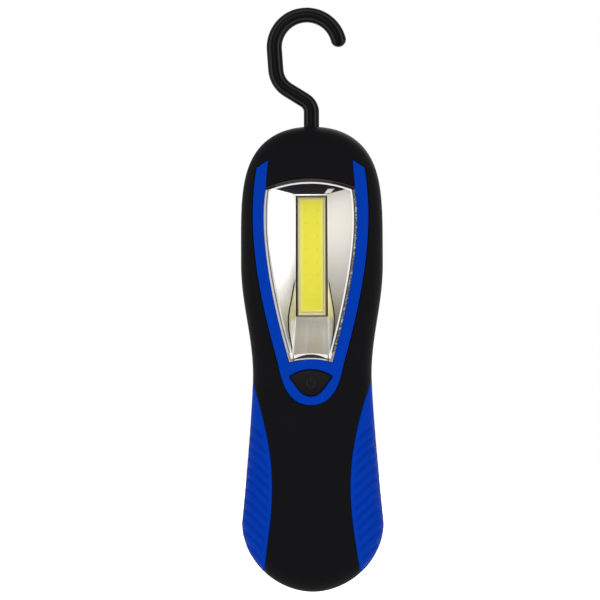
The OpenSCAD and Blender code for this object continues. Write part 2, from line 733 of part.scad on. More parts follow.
function bend(e, turn, r, n) = [for (i = [1:n]) let (q = bend_end(e, turn * i / n, r)) [q[0], q[1]]];

hook_e0 = [0, hook_rise_z, 0];
hook_e1 = bend_end(hook_e0, -hook_first[0], hook_first[1]);
hook_e2 = run_end(hook_e1, hook_slant);
hook_e3 = bend_end(hook_e2, hook_second[0], hook_second[1]);
hook_e4 = run_end(hook_e3, hook_run);
hook_e5 = bend_end(hook_e4, hook_bow_turn, hook_bow_r);
hook_path = concat([[0, body_len - 1], [0, hook_rise_z]],
    bend(hook_e0, -hook_first[0], hook_first[1], 8), [[hook_e2[0], hook_e2[1]]],
    bend(hook_e2, hook_second[0], hook_second[1], 8), [[hook_e4[0], hook_e4[1]]],
    bend(hook_e4, hook_bow_turn, hook_bow_r, 22),
    [for (a = [25, 50, 75]) let (q = run_end(hook_e5, hook_r * sin(a))) [q[0], q[1], cos(a)]]);

module hook() color("#1a1b1d") translate([0, part_y, 0]) {
    translate([0, 0, hook_foot_z]) cylinder(r = hook_r, h = body_len + 2 - hook_foot_z);
    translate([0, 0, collar_z]) cylinder(r = collar_r, h = collar_t);
    tube(hook_path, hook_r - 0.02);
}

// ---------- Battery bay ----------

module battery_tray() color("#2a2b2e") difference() {
    union() {
        box([-tray_half, tray_back_y, tray_low], [tray_half, tray_rim_y, tray_high]);
        box([-tray_ear[0], tray_back_y, tray_low - tray_ear[1]],
            [tray_ear[0], tray_floor_y, tray_high + tray_ear[1]]);
    }
    box([tray_wall - tray_half, tray_floor_y, tray_low + tray_wall],
        [tray_half - tray_wall, over, tray_high - tray_wall]);
    for (p = tray_posts) rod_y(p[0], p[1], screw_r + fit_gap, tray_back_y - 1, tray_floor_y + 1);
}

module plate(x, low, bump) {
    z = low ? tray_low + tray_wall : tray_high - tray_wall - plate_t;
    box([x - 4.6, cell_y - 4, z], [x + 4.6, cell_y + 3, z + plate_t]);
    if (bump) translate([x, cell_y, low ? z : z - bump_t]) cylinder(r = 2.4, h = bump_t + plate_t);
}

module contact_plates() color("#c8b070") for (i = [-1:1]) {
    plate(i * cell_pitch, true, i != 0);
    plate(i * cell_pitch, false, i == 0);
}

// Coiled contact spring drawn as rings joined by a short wire.
module spring(x, z_low) {
    pitch = (spring_len - 0.8) / 4;
    for (i = [0:4]) translate([x, cell_y, z_low + 0.4 + i * pitch]) rotate_extrude()
        translate([3.4 - 0.3 * i, 0]) circle(r = 0.4, $fn = 16);
    translate([x + 2.8, cell_y, z_low + 0.4]) cylinder(r = 0.35, h = spring_len - 0.8, $fn = 16);
}

module contact_springs() color("#b9bcc0") {
    for (i = [-1, 1]) spring(i * cell_pitch, cell_low + cell_len);
    spring(0, tray_low + tray_wall + plate_t);
}

module cell(x, z, up) translate([x, cell_y, z + (up ? 0 : cell_len)]) rotate([up ? 0 : 180, 0, 0]) {
    cylinder(d = cell_d, h = cell_len - 1);
    cylinder(d = 3.8, h = cell_len);
}

module battery_left() color("#3a3d42") cell(-cell_pitch, cell_low, false);

module battery_middle() color("#3a3d42")
    cell(0, tray_low + tray_wall + plate_t + spring_len, true);

module battery_right() color("#3a3d42") cell(cell_pitch, cell_low, false);

module battery_door() color("#1a1b1d") difference() {
    union() {
        intersection() {
            back_skin();
            door_opening(slide_gap);
        }
        both_sides() {
            box([tray_half + 0.1, tongue_y - tongue_t, door_foot_top + 2],
                [tongue_half, tongue_y, door_top - 6]);
            box([tray_half + 0.1, tongue_y - tongue_t, door_foot_top + 2],
                [door_half - slide_gap, -wall / 2, door_top - 6]);
        }
    }
    for (i = [0:3]) box([-8, -0.5, door_top - 9 - 3 * i], [8, 1, door_top - 7.6 - 3 * i]);
}

// ---------- Magnet ----------

module magnet() color("#8d9094") rod_y(0, magnet_z, magnet_d / 2, -magnet_t, 0);

module magnet_cup() color("#77797d") difference() {
    rod_y(0, magnet_z, cup_r, cup_y, -cup_sink);
    rod_y(0, magnet_z, magnet_d / 2, -magnet_t, 1);
}

module from_foot() translate([0, 0, -magnet_z]) children();

from_foot() {
    front_shell();
    rear_shell();
    bezel();
    grip_left();
    grip_right();
    lens();
    reflector();
    led_board();
    led_phosphor();
    led_chips();
    heat_sink();
    button();
    switch_plunger();
    switch_body();
    driver_board();
    driver_parts();
    inner_screws();
    hook();
    battery_tray();
    contact_plates();
    contact_springs();
    battery_left();
    battery_middle();
    battery_right();
    battery_door();
    magnet();
    magnet_cup();
    casing_screws();
    wire_red();
    wire_black();
}
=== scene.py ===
import math
import bmesh
import bpy
import numpy as np
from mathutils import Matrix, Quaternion, Vector


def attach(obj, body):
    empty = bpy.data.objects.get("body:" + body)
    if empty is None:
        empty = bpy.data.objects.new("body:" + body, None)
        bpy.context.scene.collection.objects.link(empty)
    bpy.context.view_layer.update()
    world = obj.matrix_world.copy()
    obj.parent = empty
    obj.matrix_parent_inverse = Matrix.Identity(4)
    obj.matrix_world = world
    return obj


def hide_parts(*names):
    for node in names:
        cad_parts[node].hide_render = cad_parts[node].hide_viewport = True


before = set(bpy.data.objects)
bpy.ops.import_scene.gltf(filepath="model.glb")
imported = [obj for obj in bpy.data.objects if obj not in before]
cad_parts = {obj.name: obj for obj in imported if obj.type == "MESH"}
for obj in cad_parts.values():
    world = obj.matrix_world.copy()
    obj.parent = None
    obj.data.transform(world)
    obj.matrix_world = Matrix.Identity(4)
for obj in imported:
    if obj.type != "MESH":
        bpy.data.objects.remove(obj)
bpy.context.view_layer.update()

# Millimetres, in heights above the casing's foot. to_frame() moves them to the frame.
MAGNET_Z = 150.0
BODY_LEN, HEAD_W, WAIST_W, GRIP_W = 200.0, 61.0, 51.0, 61.0
GRIP_Z, WAIST_Z, HEAD_Z = 29.5, 93.0, 141.0
PART_Y, BACK_ROUND = -15.0, 8.0
HEAD_RISE, WAIST_RISE, GRIP_RISE = 17.0, 15.5, 16.5
FIT, SLIDE = 0.15, 0.25
# Gap on each side of the parting plane, round of the casing's edges, wall of the back and the door.
SEAM, EDGE_ROUND, SHELL = 0.12, 0.35, 1.4
FRONT, BACK = (0, -1, 0), (0, 1, 0)
# Powers of the end curves: the foot's, and the top's on its side and over its end.
FOOT_POWER, SIDE_POWER, TOP_POWER = 1.92, 2.2, 4.3


def unit(v):
    """A value held between 0 and 1."""
    return np.clip(v, 0, 1)


def ease(t):
    """Half a cosine that climbs from 0 to 1."""
    return (1 - np.cos(np.pi * t)) / 2


def norm(v):
    """Length of each vector."""
    return np.linalg.norm(v, axis=-1)


def points(*axes):
    """Points from their coordinates, spread over each other's shape."""
    return np.stack(np.broadcast_arrays(*axes), -1)


def join(*parts, axis=0):
    """Lines or grids of points, end to end."""
    return np.concatenate(parts, axis)


def at_depth(p, y):
    """Points in space from (x, z) and a depth."""
    return points(p[..., 0], y, p[..., 1])


def straight_back(line, depths):
    """Rows that repeat a line of (x, z) at each depth."""
    return np.stack([at_depth(line, y) for y in depths])


# ---------- Shape of the casing ----------

def side_w(z):
    """Width: the waist's, plus a power curve down to the grip or half a cosine up to the head."""
    low = WAIST_W + (GRIP_W - WAIST_W) * ((WAIST_Z - np.clip(z, GRIP_Z, WAIST_Z)) / (WAIST_Z - GRIP_Z)) ** 1.3
    t = unit((z - WAIST_Z) / (HEAD_Z - WAIST_Z))
    return np.where(z < WAIST_Z, low, WAIST_W + (HEAD_W - WAIST_W) * ease(t))


def rise(z):
    """Depth of the front half along its middle: half a cosine from the waist to the grip and to the head."""
    low = unit((WAIST_Z - z) / (WAIST_Z - GRIP_Z))
    high = unit((z - WAIST_Z) / (HEAD_Z - WAIST_Z))
    return WAIST_RISE + (GRIP_RISE - WAIST_RISE) * ease(low) + (HEAD_RISE - WAIST_RISE) * ease(high)


def level(x, z):
    """0 on the middle line and 1 on the outline: |x| over the half width to a power near 2, plus the
    share of the rounded end to its own power."""
    power = FOOT_POWER + (SIDE_POWER - FOOT_POWER) * unit((z - GRIP_Z) / (HEAD_Z - GRIP_Z))
    end = np.where(z > HEAD_Z, np.clip((z - HEAD_Z) / (BODY_LEN - HEAD_Z), 0, None) ** TOP_POWER,
                   np.clip((GRIP_Z - z) / GRIP_Z, 0, None) ** FOOT_POWER)
    return (np.abs(x) / (side_w(z) / 2)) ** power + end


def crown(x, z):
    """Height of the front over the parting plane: the rise times (1 - level^1.5)^0.4."""
    return rise(z) * np.clip(1 - level(x, z) ** 1.5, 0, None) ** 0.4


def front_normal(p):
    """Outward unit normal of the crowned front: the gradient of level^1.5 + (depth / rise)^2.5."""
    def field(x, y, z):
        """The sum of both powers, which is 1 on the front."""
        return level(x, z) ** 1.5 + (np.clip(PART_Y - y, 0, None) / rise(z)) ** 2.5

    e = 0.02
    x, y, z = p[..., 0], p[..., 1], p[..., 2]
    y = np.minimum(y, PART_Y)
    g = points(field(x + e, y, z) - field(x - e, y, z), field(x, y + e, z) - field(x, y - e, z),
               field(x, y, z + e) - field(x, y, z - e))
    g[..., 1] = np.minimum(g[..., 1], 0)
    return g / np.maximum(norm(g)[..., None], 1e-9)


def half_at(z):
    """Half width of the casing at a height, its rounded foot too."""
    foot = GRIP_W / 2 * unit(1 - unit((GRIP_Z - z) / GRIP_Z) ** FOOT_POWER) ** (1 / FOOT_POWER)
    return np.where(z < GRIP_Z, foot, side_w(z) / 2)


def on_front(xz, lift=0.0, drop=0.0):
    """Points of the front over (x, z): lifted along -Y, then sunk along the surface's normal."""
    p = at_depth(xz, PART_Y - crown(xz[..., 0], xz[..., 1]))
    n = front_normal(p)
    p[..., 1] -= lift
    return p - n * np.broadcast_to(np.asarray(drop, float), p.shape[:-1])[..., None]


def bezier(a, b, c, d, n):
    """n points on a cubic curve with four control points."""
    t = np.linspace(0, 1, n)[:, None]
    a, b, c, d = map(np.asarray, (a, b, c, d))
    return (1 - t) ** 3 * a + 3 * (1 - t) ** 2 * t * b + 3 * (1 - t) * t * t * c + t ** 3 * d


def outline_half(n=1400):
    """Right half of the outline, from the top to the foot."""
    a = np.linspace(np.pi / 2, 0, n)
    top = points(side_w(np.full(n, HEAD_Z)) / 2 * np.cos(a) ** (2 / SIDE_POWER),
                 HEAD_Z + (BODY_LEN - HEAD_Z) * np.sin(a) ** (2 / TOP_POWER))
    z = np.linspace(HEAD_Z, GRIP_Z, n)[1:-1]
    side = points(side_w(z) / 2, z)
    a = a[::-1]
    low = points(GRIP_W / 2 * np.cos(a) ** (2 / FOOT_POWER), GRIP_Z - GRIP_Z * np.sin(a) ** (2 / FOOT_POWER))
    low[-1] = [0, 0]
    top[0] = [0, BODY_LEN]
    return join(top, side, low)


def arc_length(p):
    """Running length along a line of points."""
    return join([0], np.cumsum(norm(np.diff(p, axis=0))))


def along(p, s):
    """Points at lengths s along a line of points."""
    length = arc_length(p)
    return np.stack([np.interp(s, length, p[:, k]) for k in range(p.shape[1])], -1)


def resample(p, n):
    """n points evenly spaced along a line of points."""
    return along(p, np.linspace(0, arc_length(p)[-1], n))


def both_halves(right):
    """A closed loop from its right half, which runs from the top middle to the bottom middle."""
    return join(right, right[-2:0:-1] * [-1, 1])


def grown(p, d):
    """A closed loop, or one half of it, moved outwards along the mitres of its edges."""
    a, b = p - np.roll(p, 1, 0), np.roll(p, -1, 0) - p
    na = points(-a[:, 1], a[:, 0]) / norm(a)[:, None]
    nb = points(-b[:, 1], b[:, 0]) / norm(b)[:, None]
    return p + d * (na + nb) / (1 + (na * nb).sum(1))[:, None]


OUTLINE = outline_half()
LENS_TOP, LENS_FOOT = 173.8, 98.8
LENS_TOP_HALF, LENS_FOOT_HALF = 19.1, 9.3
LENS_TOP_ARCH, LENS_FOOT_ARCH = 3.7, 1.3
BUTTON_TOP, BUTTON_FOOT = 95.6, 84.4
ELBOW = (14.2, 98.3)
lens_side = bezier((LENS_TOP_HALF, LENS_TOP), (23.1, 153), (15.4, 120), (LENS_FOOT_HALF, LENS_FOOT), 400)
bezel_side = bezier((23.3, 182.2), (28.2, 153), (21.1, 123.1), ELBOW, 400)
bezel_under = bezier(ELBOW, (12.9, 92.4), (10.9, 80.5), (0, 80.5), 300)
grip_edge = bezier((26.6, 93.2), (12, 53), (16.8, 37), (20.6, 8.5), 400)
grip_edge = join(grip_edge, [[24, 2]])


def lens_half(z):
    """Half width of the lens at a height."""
    return np.interp(z, lens_side[::-1, 1], lens_side[::-1, 0])


def lens_top_z(x):
    """Arched top edge of the lens."""
    return LENS_TOP + LENS_TOP_ARCH * (1 - (x / LENS_TOP_HALF) ** 2)


def lens_foot_z(x):
    """Arched lower edge of the lens."""
    return LENS_FOOT + LENS_FOOT_ARCH * (1 - (x / LENS_FOOT_HALF) ** 2)


def button_half(n):
    """Right half of the button's outline from the top middle: an arch, a small round corner, and a taper."""
    x = np.linspace(0, 8.4, n)
    top = points(x, BUTTON_TOP - 2.9 * (x / 9.15) ** 2)
    corner = bezier(top[-1], (9.15, 92.75), (9.2, 92.7), (8.5, 91.85), 12)
    taper = bezier(corner[-1], (6.2, 89.0), (4.3, BUTTON_FOOT), (0, BUTTON_FOOT), n)
    return join(top, corner[1:], taper[1:])


# ---------- Meshes ----------

def to_frame(p):
    """Millimetres above the foot to metres in the frame."""
    return (np.asarray(p, float) - [0, 0, MAGNET_Z]) / 1000


# Points closer than this are made one.
MERGE = 0.002


class Skin:
    """Collects grids of points as one mesh. A grid is rows by columns, and its rows may be closed rings."""

    def __init__(self):
        """An empty mesh."""
        self.points, self.faces, self.tones, self.count = [], [], [], 0

    def grid(self, p, out, ring=False, keep=None, tone=None):
        """Quads between neighbouring points. out is a direction, or one at each point, that faces turn to."""
        rows, cols = p.shape[:2]
        index = np.arange(rows * cols).reshape(rows, cols)
        if ring:
            index = join(index, index[:, :1], axis=1)
        quads = np.stack([index[:-1, :-1], index[:-1, 1:], index[1:, 1:], index[1:, :-1]], -1)
        if keep is not None:
            quads = quads[keep]
        quads = quads.reshape(-1, 4)
        flat = p.reshape(-1, 3)
        n = np.cross(flat[quads[:, 2]] - flat[quads[:, 0]], flat[quads[:, 3]] - flat[quads[:, 1]])
        want = np.broadcast_to(np.asarray(out, float), p.shape).reshape(-1, 3)[quads[:, 0]]
        if (n * want).sum() < 0:
            quads = quads[:, ::-1]
        self.points.append(flat)
        self.faces.extend((quads + self.count).tolist())
        self.tones.append(np.zeros(len(flat)) if tone is None else np.asarray(tone, float).reshape(-1))
        self.count += len(flat)

    def build(self, name, finish, body, replaces=(), wall=0.0, closed=False, sharp=35):
        """The mesh as an object that rides on a body. wall gives a sheet its thickness inwards."""
        mesh = bpy.data.meshes.new(name)
        mesh.from_pydata(to_frame(np.concatenate(self.points)).tolist(), [], self.faces)
        tone = mesh.attributes.new("tone", "FLOAT", "POINT")
        tone.data.foreach_set("value", np.concatenate(self.tones).astype(np.float32))
        bm = bmesh.new()
        bm.from_mesh(mesh)
        bmesh.ops.remove_doubles(bm, verts=bm.verts, dist=MERGE / 1000)
        if closed:
            bmesh.ops.recalc_face_normals(bm, faces=bm.faces)
        bm.to_mesh(mesh)
        bm.free()
        mesh.shade_smooth()
        mesh.set_sharp_from_angle(angle=math.radians(sharp))
        mesh.materials.append(finish)
        piece = bpy.data.objects.new(name, mesh)
        bpy.context.scene.collection.objects.link(piece)
        if wall:
            solid = piece.modifiers.new("wall", "SOLIDIFY")
            solid.thickness, solid.offset, solid.use_rim = wall / 1000, -1, True
        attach(piece, body)
        if replaces:
            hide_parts(*replaces)
        return piece


def nearest(p, line):
    """Distance of each (x, z) from a line of points: to the nearest point, then to its two segments."""
    flat = p.reshape(-1, 2)
    found = np.empty(len(flat))
    for k in range(0, len(flat), 1500):
        q = flat[k:k + 1500]
        i = ((q[:, None] - line[None]) ** 2).sum(-1).argmin(1)
        best = np.full(len(q), 1e9)
        before, after = line[np.maximum(i - 1, 0)], line[np.minimum(i + 1, len(line) - 1)]
        for a, b in ((before, line[i]), (line[i], after)):
            ab = b - a
            t = unit(((q - a) * ab).sum(1) / np.maximum((ab ** 2).sum(1), 1e-12))
            best = np.minimum(best, norm(q - a - ab * t[:, None]))
        found[k:k + 1500] = best
    return found.reshape(p.shape[:-1])


def rounding(distance, radius):
    """Drop of a quarter-round edge at a distance in from it."""
    d = np.clip(distance, 0, radius)
    return radius - np.sqrt(radius ** 2 - (radius - d) ** 2)


EDGE = np.array([0, 0.04, 0.14, 0.3, 0.55, 0.85])


def ruled(a, b, mid, edge_a=1.0, edge_b=1.0, power=1.0):
    """Grid of (x, z) along straight lines from the points of a to those of b: close rows at each edge, and
    between them rows at 1 - (1 - t)^power. The edges and the power may differ from column to column."""
    width = norm(b - a)
    limit = np.minimum(1, width / 2.2)
    start = EDGE[:, None] * edge_a * limit
    end = EDGE[::-1, None] * edge_b * limit
    t = np.linspace(0, 1, mid + 2)[1:-1, None]
    middle = start[-1] + (width - start[-1] - end[0]) * (1 - (1 - t) ** power)
    d = join(start, middle, width - end)
    return a + (b - a) * (d / np.maximum(width, 1e-9))[..., None]


def keyed(line, keys, counts):
    """Points along a line of points, with a count of them from each key point to the next."""
    length = arc_length(line)
    at = [length[((line - k) ** 2).sum(1).argmin()] for k in keys]
    parts = [np.linspace(s, e, n, endpoint=False) for s, e, n in zip(at, at[1:], counts)]
    return along(line, np.concatenate(parts + [at[-1:]]))


def skirt(skin, line, lift, radius, depth, ring=True, inward=1.0):
    """Wall that drops from the rounded edge of a front surface, square to the surface."""
    rows = np.stack([on_front(line, lift, d) for d in (radius, (radius + depth) / 2, depth)])
    n = front_normal(rows[0])
    step = np.roll(rows[0], -1, 0) - np.roll(rows[0], 1, 0)
    out = np.cross(n, step) * inward
    skin.grid(rows, np.broadcast_to(out, rows.shape), ring=ring)


# ---------- Finishes ----------

def operator(operation):
    """A method that adds a Math node of this operation."""
    return lambda self, other: self.maths(operation, other)


class Value:
    """A socket with arithmetic, so that an expression on it adds its Math nodes."""

    def __init__(self, nodes, socket):
        """Keeps the socket, and the nodes it belongs to."""
        self.nodes, self.socket = nodes, socket

    def maths(self, operation, *others):
        """A Math node with this value first."""
        return self.nodes.node("ShaderNodeMath", {"operation": operation}, dict(enumerate((self, *others))))

    __add__ = __radd__ = operator("ADD")
    __sub__ = operator("SUBTRACT")
    __mul__ = __rmul__ = operator("MULTIPLY")
    __pow__ = operator("POWER")

    def __neg__(self):
        """The value with its sign turned."""
        return self * -1.0

    def __rsub__(self, other):
        """The other value less this one."""
        return self * -1.0 + other

    def clamp(self):
        """The value held between 0 and 1."""
        return self.nodes.node("ShaderNodeClamp", {}, {0: self})

    def ramp(self, low, high):
        """0 at low and 1 at high, smoothly."""
        return self.nodes.node("ShaderNodeMapRange", {"interpolation_type": "SMOOTHSTEP"},
                               {"Value": self, "From Min": low, "From Max": high})


def between(value, low, high, soft=0.08):
    """1 from low to high and 0 outside, with soft ends."""
    return value.ramp(low - soft, low + soft) * (1 - value.ramp(high - soft, high + soft))


class Nodes:
    """A node tree, and the one method that adds a node to it."""

    def __init__(self, tree):
        """Keeps the tree."""
        self.tree = tree

    def node(self, kind, settings=None, inputs=None, output=0):
        """Adds a node: its settings first, then the values or links of its sockets."""
        n = self.tree.nodes.new(kind)
        for key, value in (settings or {}).items():
            setattr(n, key, value)
        for key, value in (inputs or {}).items():
            if isinstance(value, Value):
                self.tree.links.new(value.socket, n.inputs[key])
            elif isinstance(value, tuple) and len(value) == 3 and n.inputs[key].type == "RGBA":
                n.inputs[key].default_value = (*value, 1.0)
            else:
                n.inputs[key].default_value = value
        return Value(self, n.outputs[output])

    def ray(self, kind):
        """1 for rays of a kind, and 0 for others."""
        return self.node("ShaderNodeLightPath", output=f"Is {kind} Ray")


class Finish(Nodes):
    """A procedural material round one Principled shader. Constants are set on the shader's own sockets."""

    def __init__(self, name, **constants):
        """A material of this name, with its shader's constants."""
        self.material = bpy.data.materials.new(name)
        self.material.use_nodes = True
        super().__init__(self.material.node_tree)
        self.shader = next(n for n in self.tree.nodes if n.type == "BSDF_PRINCIPLED")
        for key, value in constants.items():
            socket = self.shader.inputs[key.replace("_", " ")]
            socket.default_value = (*value, 1.0) if isinstance(value, tuple) else value

    def feed(self, **sockets):
        """Links values to the shader's sockets."""
        for key, value in sockets.items():
            self.tree.links.new(value.socket, self.shader.inputs[key.replace("_", " ")])

    def place(self):
        """Object coordinates, in metres."""
        return self.node("ShaderNodeTexCoord", output="Object")

    def axes(self):
        """X, Y and Z of the place, in millimetres."""
        mm = self.node("ShaderNodeVectorMath", {"operation": "SCALE"}, {0: self.place(), "Scale": 1000.0})
        n = self.node("ShaderNodeSeparateXYZ", {}, {0: mm}).socket.node
        return [Value(self, n.outputs[k]) for k in range(3)]

    def noise(self, per_mm, detail=3.0, stretch=(1.0, 1.0, 1.0)):
        """Noise with about per_mm lumps to a millimetre, stretched along the axes."""
        p = self.node("ShaderNodeMapping", {}, {"Vector": self.place(), "Scale": stretch})
        return self.node("ShaderNodeTexNoise", {}, {"Vector": p, "Scale": per_mm * 1000.0, "Detail": detail})

    def tone(self):
        """The piece's own tone, from its mesh."""
        return self.node("ShaderNodeAttribute", {"attribute_name": "tone"}, output="Fac")

    def blend(self, factor, a, b):
        """Colour a at 0 and b at 1."""
        return self.node("ShaderNodeMix", {"data_type": "RGBA"}, {0: factor, 6: a, 7: b}, output=2)

    def bump(self, height, depth_mm):
        """Relief of a depth in millimetres."""
        return self.node("ShaderNodeBump", {}, {"Height": height, "Distance": depth_mm / 1000})


def moulded(name, colour, dark, roughness, grain=4.0, relief=0.02, specular=0.1, spread=0.06, low=None):
    """Moulded plastic: a slow drift of colour, a fine grain in its relief, and roughness that follows it.
    Where its tone is 1 it takes the low colour, if it has one. The low colour is painted light or shade: a
    painted highlight along the rod, painted shade round the button and in the grip's grooves."""
    f = Finish(name, Specular_IOR_Level=specular)
    slow, fine = f.noise(0.05, 4), f.noise(grain, 2)
    shade = f.blend(slow, colour, dark)
    if low:
        shade = f.blend(f.tone().clamp(), shade, low)
    f.feed(Base_Color=shade, Roughness=fine * spread + slow * spread + (roughness - spread),
           Normal=f.bump(fine, relief))
    return f.material


def worked_metal(name, colour, roughness, stretch=(1.0, 1.0, 1.0), per_mm=0.8):
    """Bare or plated metal: fine drawn lines in its roughness and relief, and a little tarnish."""
    f = Finish(name, Metallic=1.0)
    lines, slow = f.noise(per_mm, 4, stretch), f.noise(0.12, 3)
    tarnish = tuple(c * 0.85 for c in colour)
    f.feed(Base_Color=f.blend(slow, colour, tarnish), Roughness=lines * 0.16 + roughness,
           Normal=f.bump(lines, 0.004))
    return f.material


soft_black = moulded("soft_black", (0.0054, 0.0054, 0.0062), (0.0042, 0.0042, 0.0049), 0.62, grain=5,
                     relief=0.012, specular=0.025)
# The rod's low colour is lighter: a painted highlight along it.
rod_black = moulded("rod_black", (0.0012, 0.0012, 0.0014), (0.0008, 0.0008, 0.001), 0.24, grain=3,
                    relief=0.002, specular=0.045, spread=0.02, low=(0.032, 0.032, 0.034))
# The button's low colour, darker, is painted shade.
button_black = moulded("button_black", (0.0125, 0.0098, 0.011), (0.0095, 0.0082, 0.009), 0.45,
                       relief=0.01, specular=0.03, low=(0.0012, 0.0012, 0.0022))
tray_black = moulded("tray_black", (0.02, 0.02, 0.021), (0.014, 0.014, 0.015), 0.5, relief=0.02, specular=0.3)
bezel_blue = moulded("bezel_blue", (0.0002, 0.039, 0.385), (0.0002, 0.035, 0.36), 0.42, grain=3, relief=0.008,
                     specular=0.015)
grip_blue = moulded("grip_blue", (0.0002, 0.038, 0.385), (0.0002, 0.034, 0.36), 0.58, grain=5, relief=0.015,
                    specular=0.02, low=(0.0002, 0.029, 0.32))
sign_black = moulded("sign_black", (0.011, 0.0105, 0.0095), (0.009, 0.0085, 0.008), 0.4, relief=0.004,
                     specular=0.08)
board_green = moulded("board_green", (0.012, 0.09, 0.04), (0.008, 0.07, 0.03), 0.35, relief=0.004,
                      specular=0.4)
component_dark = moulded("component_dark", (0.05, 0.05, 0.055), (0.03, 0.03, 0.034), 0.4, specular=0.4)
switch_grey = moulded("switch_grey", (0.06, 0.062, 0.066), (0.045, 0.046, 0.05), 0.45, specular=0.3)
wire_red = moulded("wire_red", (0.55, 0.02, 0.012), (0.45, 0.015, 0.01), 0.4, relief=0.004, specular=0.4)
wire_black = moulded("wire_black", (0.015, 0.015, 0.016), (0.01, 0.01, 0.011), 0.4, relief=0.004,
                     specular=0.4)
screw_steel = worked_metal("screw_steel", (0.5, 0.5, 0.52), 0.28, per_mm=2.0)
magnet_steel = worked_metal("magnet_steel", (0.45, 0.45, 0.46), 0.25, (1, 1, 6))
contact_metal = worked_metal("contact_metal", (0.72, 0.66, 0.5), 0.25, (1, 5, 1))
dark_metal = worked_metal("dark_metal", (0.03, 0.03, 0.033), 0.4, (1, 1, 6))


def board_finish():
    """Strip's board: a cream border round the yellow, and outside it a dark edge, painted shade where the
    slot round the board falls dark.
    """
    f = Finish("board_cream", Specular_IOR_Level=0.2)
    slow, fine = f.noise(0.3, 3), f.noise(3, 2)
    x, _, z = f.axes()
    cream = between(x, -5.75, 5.75, 0.05) * between(z, -31.0, 19.4, 0.05)
    pale = f.blend(slow, (0.8, 0.76, 0.44), (0.74, 0.7, 0.4))
    # Outside the cream the board is dark: painted shade in the slot round it.
    f.feed(Base_Color=f.blend(cream, (0.18, 0.15, 0.09), pale), Roughness=fine * 0.1 + 0.45,
           Normal=f.bump(fine, 0.004))
    return f.material


def phosphor_finish():
    """Yellow silicone over the chips: paler towards its rim, with a faint darker dot over each chip."""
    f = Finish("phosphor_yellow", Specular_IOR_Level=0.15)
    slow, fine, tone = f.noise(0.25, 3), f.noise(3, 2), f.tone()
    x, _, z = f.axes()
    base = f.blend(slow, (0.92, 0.86, 0.055), (0.88, 0.81, 0.07))
    pale = 1 - between(x, -4.2, 4.2, 0.6) * between(z, -28.9, 18.2, 0.6)
    base = f.blend(pale * 0.75, base, (0.9, 0.84, 0.3))
    colour = f.blend((1 - tone.ramp(0.25, 0.8)) * 0.3, base, (0.78, 0.66, 0.03))
    f.feed(Base_Color=colour, Roughness=fine * 0.1 + 0.4, Normal=f.bump(fine, 0.01))
    return f.material


def reflector_finish():
    """Bright plating, with reflections and shade painted into its colour by place. Its tone is 1 in the
    creases, painted shade, and on the steep top wall, a painted dark reflection; -1 on the ramp, a painted
    dull grey reflection; and -2 on a painted white highlight."""
    f = Finish("bright_reflector", Specular_IOR_Level=0.1)
    tone, slow, lines = f.tone(), f.noise(0.12, 3, (1, 1, 0.4)), f.noise(0.3, 1, (1, 0.2, 0.03))
    bright = f.blend(slow, (0.97, 0.965, 0.95), (0.93, 0.92, 0.9))
    x, _, z = f.axes()
    # right and low mark painted shade: the right wall darker and warmer grey than the left, and the lower
    # corners darker grey.
    right, low = x.ramp(-2.0, 9.0), (1 - z.ramp(-46.0, -20.0)) * (x * x).ramp(75, 100)
    bright = f.blend(right * 0.8, bright, (0.5, 0.475, 0.43))
    # away marks the walls out past the scoop and above the window's foot: painted shade, darker grey on the
    # right and grey on the left beside the scoop, fading upwards.
    away = ((x * x).ramp(72, 90) + z.ramp(-34.0, -31.0)).clamp()
    bright = f.blend(away * right * (1 - z.ramp(-40.0, 8.0)), bright, (0.3, 0.295, 0.29))
    beside = away * (1 - right) * (1 - (x * x).ramp(110, 215)) * (1 - z.ramp(-22.0, -4.0))
    bright = f.blend(beside * 0.9, bright, (0.66, 0.64, 0.61))
    # A painted yellow reflection of the strip round the window's foot.
    strip_reflection = (1 - (x * x + z * 2.2).ramp(14, 22)) * z.ramp(-34.0, -31.0) * (1 - z.ramp(-20.0, -13.0))
    bright = f.blend(strip_reflection * 0.85, bright, (0.85, 0.79, 0.43))
    bright = f.blend(low * 0.75, bright, f.blend(right, (0.26, 0.255, 0.24), (0.15, 0.15, 0.165)))
    # The dull ramp's colour: a painted grey-beige reflection with drawn lines, darker up by the window's
    # foot.
    ramp = f.blend(lines.ramp(0.35, 0.65), (0.45, 0.42, 0.34), (0.5, 0.48, 0.43))
    ramp = f.blend(z.ramp(-40.0, -31.0), ramp, (0.29, 0.28, 0.245))
    # Tone -1 takes the dull ramp colour, and -2 white, a painted highlight.
    dull, white = (-tone).clamp(), (-tone - 1).clamp()
    bright = f.blend(dull, bright, f.blend(white, ramp, (0.95, 0.95, 0.97)))
    # Tone 1 takes near black: painted shade in the creases and a painted dark reflection on the top wall.
    dark = f.blend(slow, (0.002, 0.001, 0.012), (0.007, 0.006, 0.019))
    f.feed(Base_Color=f.blend(tone.clamp(), bright, dark), Roughness=lines * 0.06 + 0.4,
           Normal=f.bump(lines, 0.002),
           Metallic=0.85 - tone.clamp() * 0.8 - dull * 0.4 - white * 0.45)
    return f.material


